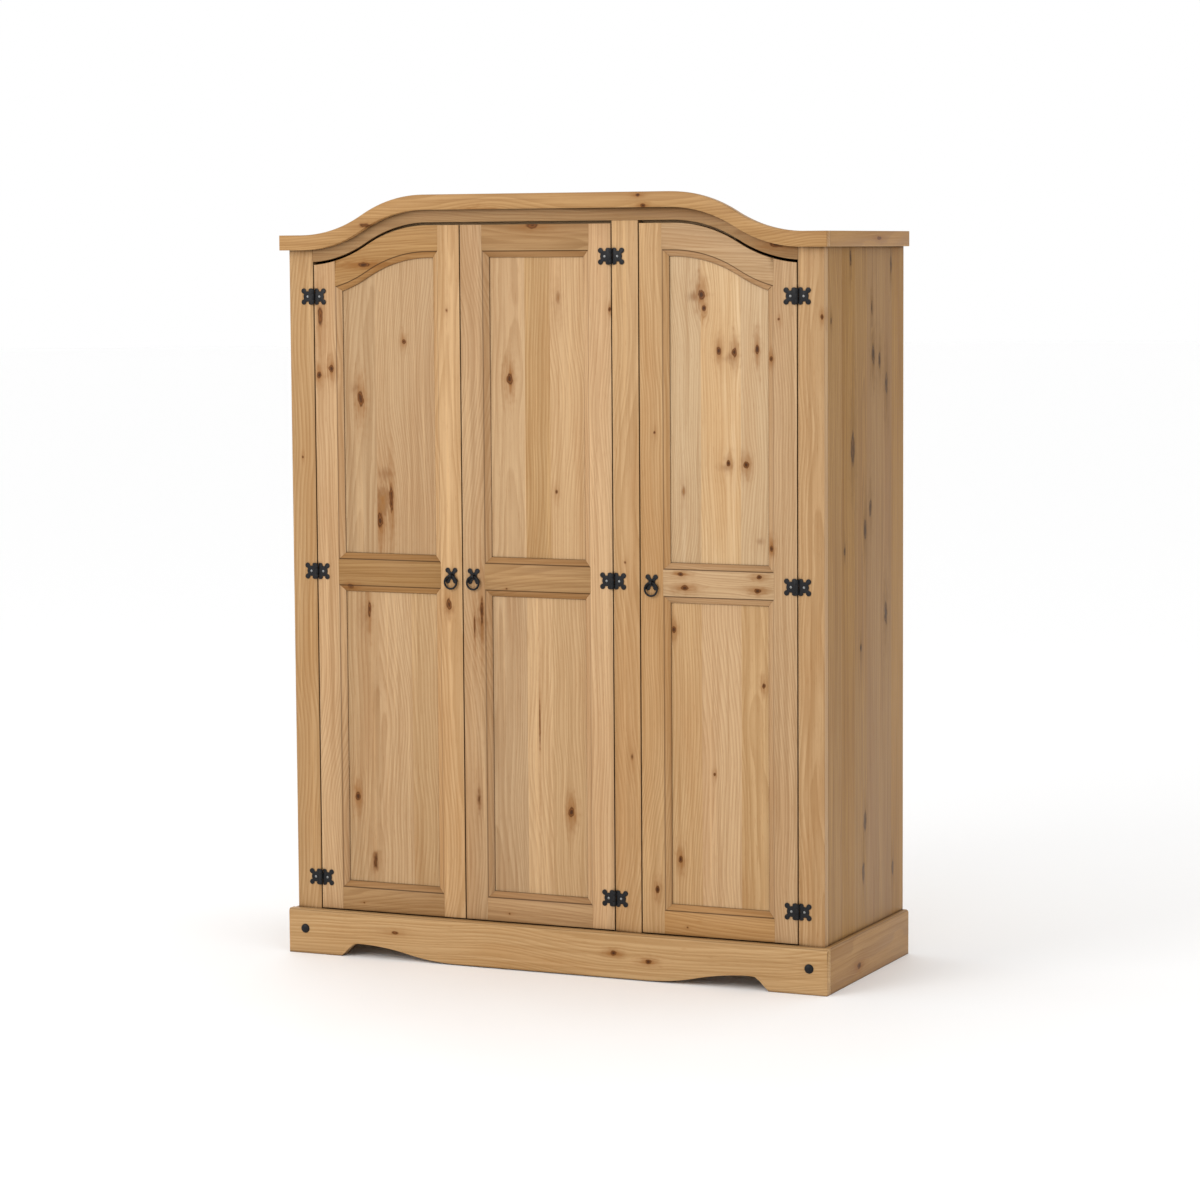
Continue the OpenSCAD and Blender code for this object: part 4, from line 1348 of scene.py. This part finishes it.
@dataclass
class Door:
    """One framed door with its panels, hinge leaves, screws, pull plate and ring.

    Attributes:
        place: Which door it is.
        nodes: The CAD nodes by name.
        hinge: The hinge axis's place.
        pull: The ring axis's place.
        knots: Knots by sub-part.
        joints: Glue lines between the panels' staves, by sub-part.
        seed: Start of everything that chance decides on it.
        seed_step: What sets its boards' seeds apart.
        tones: Brightness of the boards or of their staves against their finish, by sub-part.
        finishes: Finishes of the boards that differ from the rest, by sub-part.
        hammering: Depth of the ring's hammer marks, in millimetres.
        moulding: Depth of the chamfer round the panels, in millimetres.
        edge: Radius that the boards' edges are eased to, in millimetres.
        faint: How much painted shade darkens the right-hand stile's chamfer, which faces the light.
        soft: How much painted shade darkens the left-hand stile's chamfer, which faces away from the light.
        boss_radius: Radius of the pull plate's round middle, in millimetres.
        boss_rise: Its height, in millimetres.
    """

    place: DoorPlace
    nodes: dict[str, Object]
    hinge: Vector
    pull: Vector
    knots: dict[str, tuple[Knot, ...]] = field(default_factory=dict)
    joints: dict[str, tuple[float, ...]] = field(default_factory=dict)
    tones: dict[str, tuple[float, ...]] = field(default_factory=dict)
    finishes: dict[str, PineFinish] = field(default_factory=dict)
    seed: float = 50.0
    seed_step: float = 2.3
    hammering: float = 0.3
    moulding: float = 9.0
    edge: float = 0.5
    faint: float = 0.35
    soft: float = 0.6
    boss_radius: float = 10.0
    boss_rise: float = 2.5

    @property
    def body(self) -> str:
        """The body that the door moves with."""
        return "door_" + self.place.label

    def node(self, part: str) -> str:
        """The CAD node of one of the door's sub-parts."""
        return f"{self.body}_{part}"

    def build(self) -> None:
        """Builds the whole door."""
        parts = (("hinge_stile", FACE_PINE), ("lock_stile", FACE_PINE), ("top_rail", RAIL_PINE),
                 ("middle_rail", RAIL_PINE), ("bottom_rail", RAIL_PINE), ("upper_panel", PANEL_PINE),
                 ("lower_panel", PANEL_PINE))
        for number, (part, finish) in enumerate(parts):
            grain = Grain.LEVEL_FRONT if part.endswith("rail") else Grain.UPRIGHT_FRONT
            moulding = 0.0 if part.endswith("panel") else self.moulding
            Board(self.node(part), grain, self.finishes.get(part, finish),
                  self.seed + self.seed_step * number, self.knots.get(part, (FAINT_KNOT,)),
                  self.joints.get(part, ()), self.tones.get(part, (1.0,)), self.body, self.edge,
                  moulding, self.stain_on(part)).build(self.nodes)
        for part in ("hinge_leaves", "pull_plate"):
            piece = eased_copy(self.nodes[self.node(part)], self.node(part) + "_iron", 0.3, 0.3)
            piece.data.materials.append(BLACK_IRON.material())
            if part == "pull_plate":
                join_shapes(piece, [self.boss(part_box(self.node(part))[1].y)])
            seat(piece, self.body, BLACK_IRON.slot, self.node(part))
        self.build_fixings()
        self.build_ring()

    def stain_on(self, part: str) -> float:
        """Tells how much painted shade darkens the chamfer of a sub-part.

        Args:
            part: The sub-part.

        Returns:
            The strength, from 0 to 1.
        """
        if "stile" not in part:
            return 1.0
        # The right-hand stile's chamfer faces the light, so it gets less painted shade than the left-hand
        # one.
        right_hand = "hinge_stile" if self.place.hinge_side > 0 else "lock_stile"
        return self.faint if part == right_hand else self.soft

    def boss(self, wood: float) -> Shape:
        """Makes the round middle of the pull plate.

        Args:
            wood: Place of the door's front face along Y.

        Returns:
            The boss's mesh, which the caller frees.
        """
        shape = bmesh.new()
        bmesh.ops.create_cone(shape, cap_ends=True, segments=40, radius1=self.boss_radius * MM,
                              radius2=(self.boss_radius - 1.0) * MM, depth=self.boss_rise * MM)
        bmesh.ops.rotate(shape, matrix=Matrix.Rotation(math.radians(90), 3, "X"), verts=shape.verts)
        middle = (self.pull.x, wood - self.boss_rise * MM / 2, self.pull.z)
        bmesh.ops.translate(shape, vec=middle, verts=shape.verts)
        return shape

    def build_fixings(self) -> None:
        """Builds the screw heads, the strike plate and the nut behind the pull."""
        sizes = Fasteners()
        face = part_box(self.node("hinge_stile"))[0].y
        spots = sizes.spots(self.nodes[self.node("hinge_leaves")], self.hinge.x, -self.place.hinge_side, face)
        heads = sizes.heads(spots, self.node("fixings") + "_steel")
        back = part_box(self.node("lock_stile"))[1].y
        behind = [pair for pair in solids(self.nodes[self.node("fixings")]) if pair[1].y > back + 0.5 * MM]
        nut_low, nut_high = min(behind, key=lambda pair: pair[0].z)
        plate_low, plate_high = max(behind, key=lambda pair: pair[0].z)
        plate = flat_plate(Vector((plate_low.x, back, plate_low.z)), plate_high, 2.0)
        nut = hex_nut(Vector((self.pull.x, back, self.pull.z)), nut_high.x - nut_low.x, nut_high.y - back)
        join_shapes(heads, [plate, nut])
        seat(heads, self.body, BRIGHT_STEEL.slot, self.node("fixings"))

    def build_ring(self) -> None:
        """Forges the pull ring where the CAD ring hangs."""
        low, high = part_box(self.node("pull_ring"))
        stock = (high.y - low.y) / 2
        sizes = {"Ring radius": (high.x - low.x) / 2 - stock, "Stock radius": stock,
                 "Hammering": self.hammering * MM, "Finish": BLACK_IRON.material()}
        ring = grow(points_object(self.body + "_ring_seat", [(low + high) / 2]), ring_tree(), sizes,
                    self.body + "_forged_ring")
        seat(ring, "ring_" + self.place.label, BLACK_IRON.slot, self.node("pull_ring"))


FAINT_KNOT = Knot(20, 60, 3, 1.2, 0.3)
SIDE_KNOTS = (
    Knot(296, 1615, 5, 3.4), Knot(306, 1505, 11, 2.2), Knot(350, 1490, 8, 2.4), Knot(398, 1430, 10, 2.6),
    Knot(20, 1590, 4, 2.0), Knot(150, 1735, 6, 3.4), Knot(430, 1720, 6, 3.6), Knot(165, 1285, 14, 3.4, 0.7),
    Knot(286, 1135, 9, 2.6, 0.8), Knot(250, 1085, 10, 2.4), Knot(110, 1042, 6, 1.6), Knot(396, 868, 11, 2.6),
    Knot(220, 800, 6, 1.6), Knot(250, 375, 10, 2.6, 0.7), Knot(238, 250, 9, 3.2, 0.6),
    Knot(445, 230, 8, 3.4, 0.6))
CORNICE_KNOTS = (Knot(89, 538, 7, 1.5), Knot(90, 590, 5, 1.5), Knot(125, 973, 4, 1.4), Knot(100, 986, 5, 1.4),
                 Knot(84, 983, 4, 1.4), Knot(60, 240, 7, 3.0, 0.4))

LEFT_TONES = {"upper_panel": (0.88, 1.0), "lower_panel": (0.93, 1.0, 0.92), "middle_rail": (0.84,),
              "hinge_stile": (1.1,), "lock_stile": (1.08,), "bottom_rail": (0.92,)}
MIDDLE_TONES = {"lock_stile": (0.98,), "hinge_stile": (1.12,), "upper_panel": (1.0, 0.9, 1.06),
                "lower_panel": (0.96, 1.06, 1.0), "middle_rail": (0.94,), "top_rail": (0.94,)}
RIGHT_TONES = {"upper_panel": (1.0, 1.12, 1.04), "lower_panel": (1.05, 1.08, 1.03), "middle_rail": (1.08,),
               "top_rail": (1.0,), "lock_stile": (1.08,), "hinge_stile": (1.02,), "bottom_rail": (1.1,)}

LEFT_KNOTS = {
    "hinge_stile": (Knot(11, 1340, 6, 1.5), Knot(45, 1356, 8, 1.2), Knot(16, 1485, 8, 3.5, 0.6)),
    "top_rail": (Knot(64, 82, 6, 3.6),),
    "upper_panel": (Knot(177, 533, 6, 1.1, 0.8), Knot(55, 392, 9, 2.2, 0.9),
                    Knot(40, 416, 20, 1.1, 0.15, burr=1.0),
                    Knot(114, 140, 22, 2.3, 0.32, (98, 9000), 1.0), Knot(137, 148, 6, 6.0, 0.8, (98, 9000)),
                    Knot(105, 92, 9, 2.4, 0.9, (98, 9000)), Knot(120, 206, 26, 1.0, 0.16, (98, 9000), 1.0)),
    "middle_rail": (Knot(12, 33, 6, 1.5),),
    "lock_stile": (Knot(36, 768, 22, 1.4, 0.14, burr=1.0), Knot(38, 780, 8, 1.8, 0.8),
                   Knot(40, 1500, 5, 1.5, 0.3)),
    "lower_panel": (Knot(58, 680, 34, 2.2, 0.12, burr=1.0), Knot(90, 500, 30, 3.0, 0.07, burr=1.0),
                    Knot(72, 696, 5, 5.0, 0.7), Knot(33, 223, 7, 1.8), Knot(80, 60, 10, 3.0, 0.4)),
}
MIDDLE_KNOTS = {
    "hinge_stile": (Knot(72, 1503, 4, 1.5, 0.8),),
    "lock_stile": (Knot(44, 735, 24, 3.0, 0.16, burr=1.0), Knot(50, 765, 5, 8.0, 0.8),
                   Knot(30, 730, 3, 14.0, 0.5), Knot(38, 300, 8, 5.0, 0.3)),
    "top_rail": (Knot(76, 138, 8, 2.2, 0.7),),
    "upper_panel": (Knot(61, 443, 9, 1.6, 0.9), Knot(188, 610, 30, 3.0, 0.07, burr=1.0),
                    Knot(192, 640, 7, 3.0, 0.3, burr=1.0), Knot(183, 172, 5, 1.6, 0.4)),
    "lower_panel": (Knot(217, 217, 8, 1.6), Knot(134, 430, 2, 40.0, 0.5)),
}
RIGHT_KNOTS = {
    "hinge_stile": (Knot(9, 1387, 5, 1.3), Knot(9, 940, 6, 1.3), Knot(30, 1480, 4, 1.0, 0.5)),
    "lock_stile": (Knot(40, 107, 6, 1.5), Knot(38, 1210, 4, 1.2, 0.4)),
    "middle_rail": (Knot(70, 46, 5, 1.5), Knot(38, 56, 7, 1.6), Knot(69, 247, 5, 1.5), Knot(36, 244, 6, 1.5)),
    "upper_panel": (Knot(70, 642, 26, 0.7, 0.16, burr=1.0), Knot(90, 647, 9, 1.4), Knot(97, 615, 6, 1.3),
                    Knot(160, 498, 20, 0.8, 0.14, burr=1.0), Knot(134, 515, 6, 1.7), Knot(174, 512, 7, 1.7),
                    Knot(232, 519, 5, 2.5), Knot(150, 240, 30, 0.5, 0.14, burr=1.0), Knot(158, 249, 6, 1.3),
                    Knot(203, 246, 8, 1.1), Knot(43, 180, 6, 3.0, 0.3, burr=1.0),
                    Knot(240, 66, 14, 0.8, 0.16, burr=1.0)),
    "lower_panel": (Knot(16, 674, 6, 1.4), Knot(30, 119, 6, 1.6), Knot(247, 549, 5, 1.4),
                    Knot(120, 330, 4, 1.2, 0.5)),
}


@dataclass
class Studio:
    """The camera, the floor and the soft light.

    Attributes:
        spot: The camera's place, in metres.
        yaw: How far it is turned towards -X, in degrees.
        pitch: How far it looks up, in degrees.
        roll: How far it is rolled, in degrees.
        lens: Its focal length, in millimetres.
        floor_colour: The floor's colour.
        floor_reach: Half the floor's width, in metres.
        surround: Strength of the white surround.
        key_power: Power of the lamp, in watts.
        key_spot: The lamp's place, in metres.
        key_aim: The point that it faces, in metres.
        key_size: Its width, in metres.
    """

    spot: tuple[float, float, float] = (3.731, -8.164, 1.757)
    yaw: float = 24.48
    pitch: float = -5.51
    roll: float = -0.39
    lens: float = 108.6
    floor_colour: Rgb = (254, 254, 254)
    floor_reach: float = 60.0
    surround: float = 1.0
    key_power: float = 120.0
    key_spot: tuple[float, float, float] = (-2.6, -5.2, 3.6)
    key_aim: tuple[float, float, float] = (0.0, 0.0, 1.0)
    key_size: float = 3.2

    def camera(self) -> None:
        """Sets up the camera."""
        yaw, pitch, roll = (math.radians(angle) for angle in (self.yaw, self.pitch, self.roll))
        ahead = Vector((-math.sin(yaw) * math.cos(pitch), math.cos(yaw) * math.cos(pitch), math.sin(pitch)))
        right = Vector((math.cos(yaw), math.sin(yaw), 0.0))
        up = right.cross(ahead)
        rolled_right = right * math.cos(roll) + up * math.sin(roll)
        rolled_up = up * math.cos(roll) - right * math.sin(roll)
        lens = bpy.data.cameras.new("camera")
        lens.lens = self.lens
        lens.sensor_width = 36.0
        lens.clip_end = 200.0
        camera = add_object("camera", lens)
        turn = Matrix((rolled_right, rolled_up, -ahead)).transposed()
        camera.matrix_world = Matrix.Translation(self.spot) @ turn.to_4x4()
        bpy.context.scene.camera = camera

    def floor(self) -> None:
        """Lays the pale floor."""
        shape = bmesh.new()
        bmesh.ops.create_circle(shape, cap_ends=True, segments=96, radius=self.floor_reach)
        mesh = bpy.data.meshes.new("floor")
        shape.to_mesh(mesh)
        shape.free()
        finish, wire, inputs = new_material("floor paint")
        mottle = wire.noise(wire.coordinates("Object"), 3.0, 2.0)
        wire.feed(inputs["Roughness"], wire.ease(mottle, 0.2, 0.8, 0.62, 0.7))
        inputs["Base Color"].default_value = linear(self.floor_colour)
        mesh.materials.append(finish)
        add_object("floor", mesh)

    def lamp(self, name: str, spot: tuple[float, float, float], aim: tuple[float, float, float],
             size: float, power: float) -> None:
        """Hangs a square soft light.

        Args:
            name: Its name.
            spot: Its place.
            aim: The point that it faces.
            size: Its width, in metres.
            power: Its power, in watts.
        """
        light = bpy.data.lights.new(name, "AREA")
        light.shape = "SQUARE"
        light.size = size
        light.energy = power
        holder = add_object(name, light)
        holder.location = spot
        holder.rotation_mode = "QUATERNION"
        holder.rotation_quaternion = (Vector(aim) - Vector(spot)).to_track_quat("-Z", "Y")

    def light(self) -> None:
        """Lights the room with a white surround and one large soft lamp."""
        world = bpy.data.worlds.new("surround")
        world.use_nodes = True
        shade = next(item for item in world.node_tree.nodes if item.type == "BACKGROUND")
        shade.inputs["Color"].default_value = (1.0, 1.0, 1.0, 1.0)
        shade.inputs["Strength"].default_value = self.surround
        bpy.context.scene.world = world
        self.lamp("key", self.key_spot, self.key_aim, self.key_size, self.key_power)
        bpy.context.scene.view_settings.view_transform = "Standard"

    def build(self) -> None:
        """Sets up the camera, the floor and the light."""
        self.camera()
        self.floor()
        self.light()


def main() -> None:
    """Builds the armoire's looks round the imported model."""
    logging.basicConfig(level=logging.INFO, format="%(message)s")
    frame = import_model()
    nodes = frame["nodes"]
    places = {joint["name"]: Vector(joint["pos_m"]) for joint in frame["joints"]}
    Studio().build()
    Carcass(nodes, {door.label: places[f"door_{door.label}_hinge"] for door in DoorPlace}).build()
    Interior(nodes).build()
    looks = (
        (DoorPlace.LEFT, LEFT_KNOTS, {"upper_panel": (98.0,), "lower_panel": (98.0, 190.0)},
         LEFT_TONES, {}, 51.0),
        (DoorPlace.MIDDLE, MIDDLE_KNOTS, {"upper_panel": (102.0, 169.0), "lower_panel": (102.0, 169.0)},
         MIDDLE_TONES, {}, 71.0),
        (DoorPlace.RIGHT, RIGHT_KNOTS, {"upper_panel": (88.0, 190.0), "lower_panel": (88.0, 190.0)},
         RIGHT_TONES, {"upper_panel": PALE_PINE, "middle_rail": LIGHT_RAIL_PINE,
                       "top_rail": LIGHT_RAIL_PINE}, 91.0),
    )
    for place, knots, joints, tones, finishes, seed in looks:
        Door(place, nodes, places[f"door_{place.label}_hinge"], places[f"ring_{place.label}_swing"],
             knots, joints, tones, finishes, seed).build()
    bpy.context.view_layer.update()


if __name__ == "__main__":
    main()
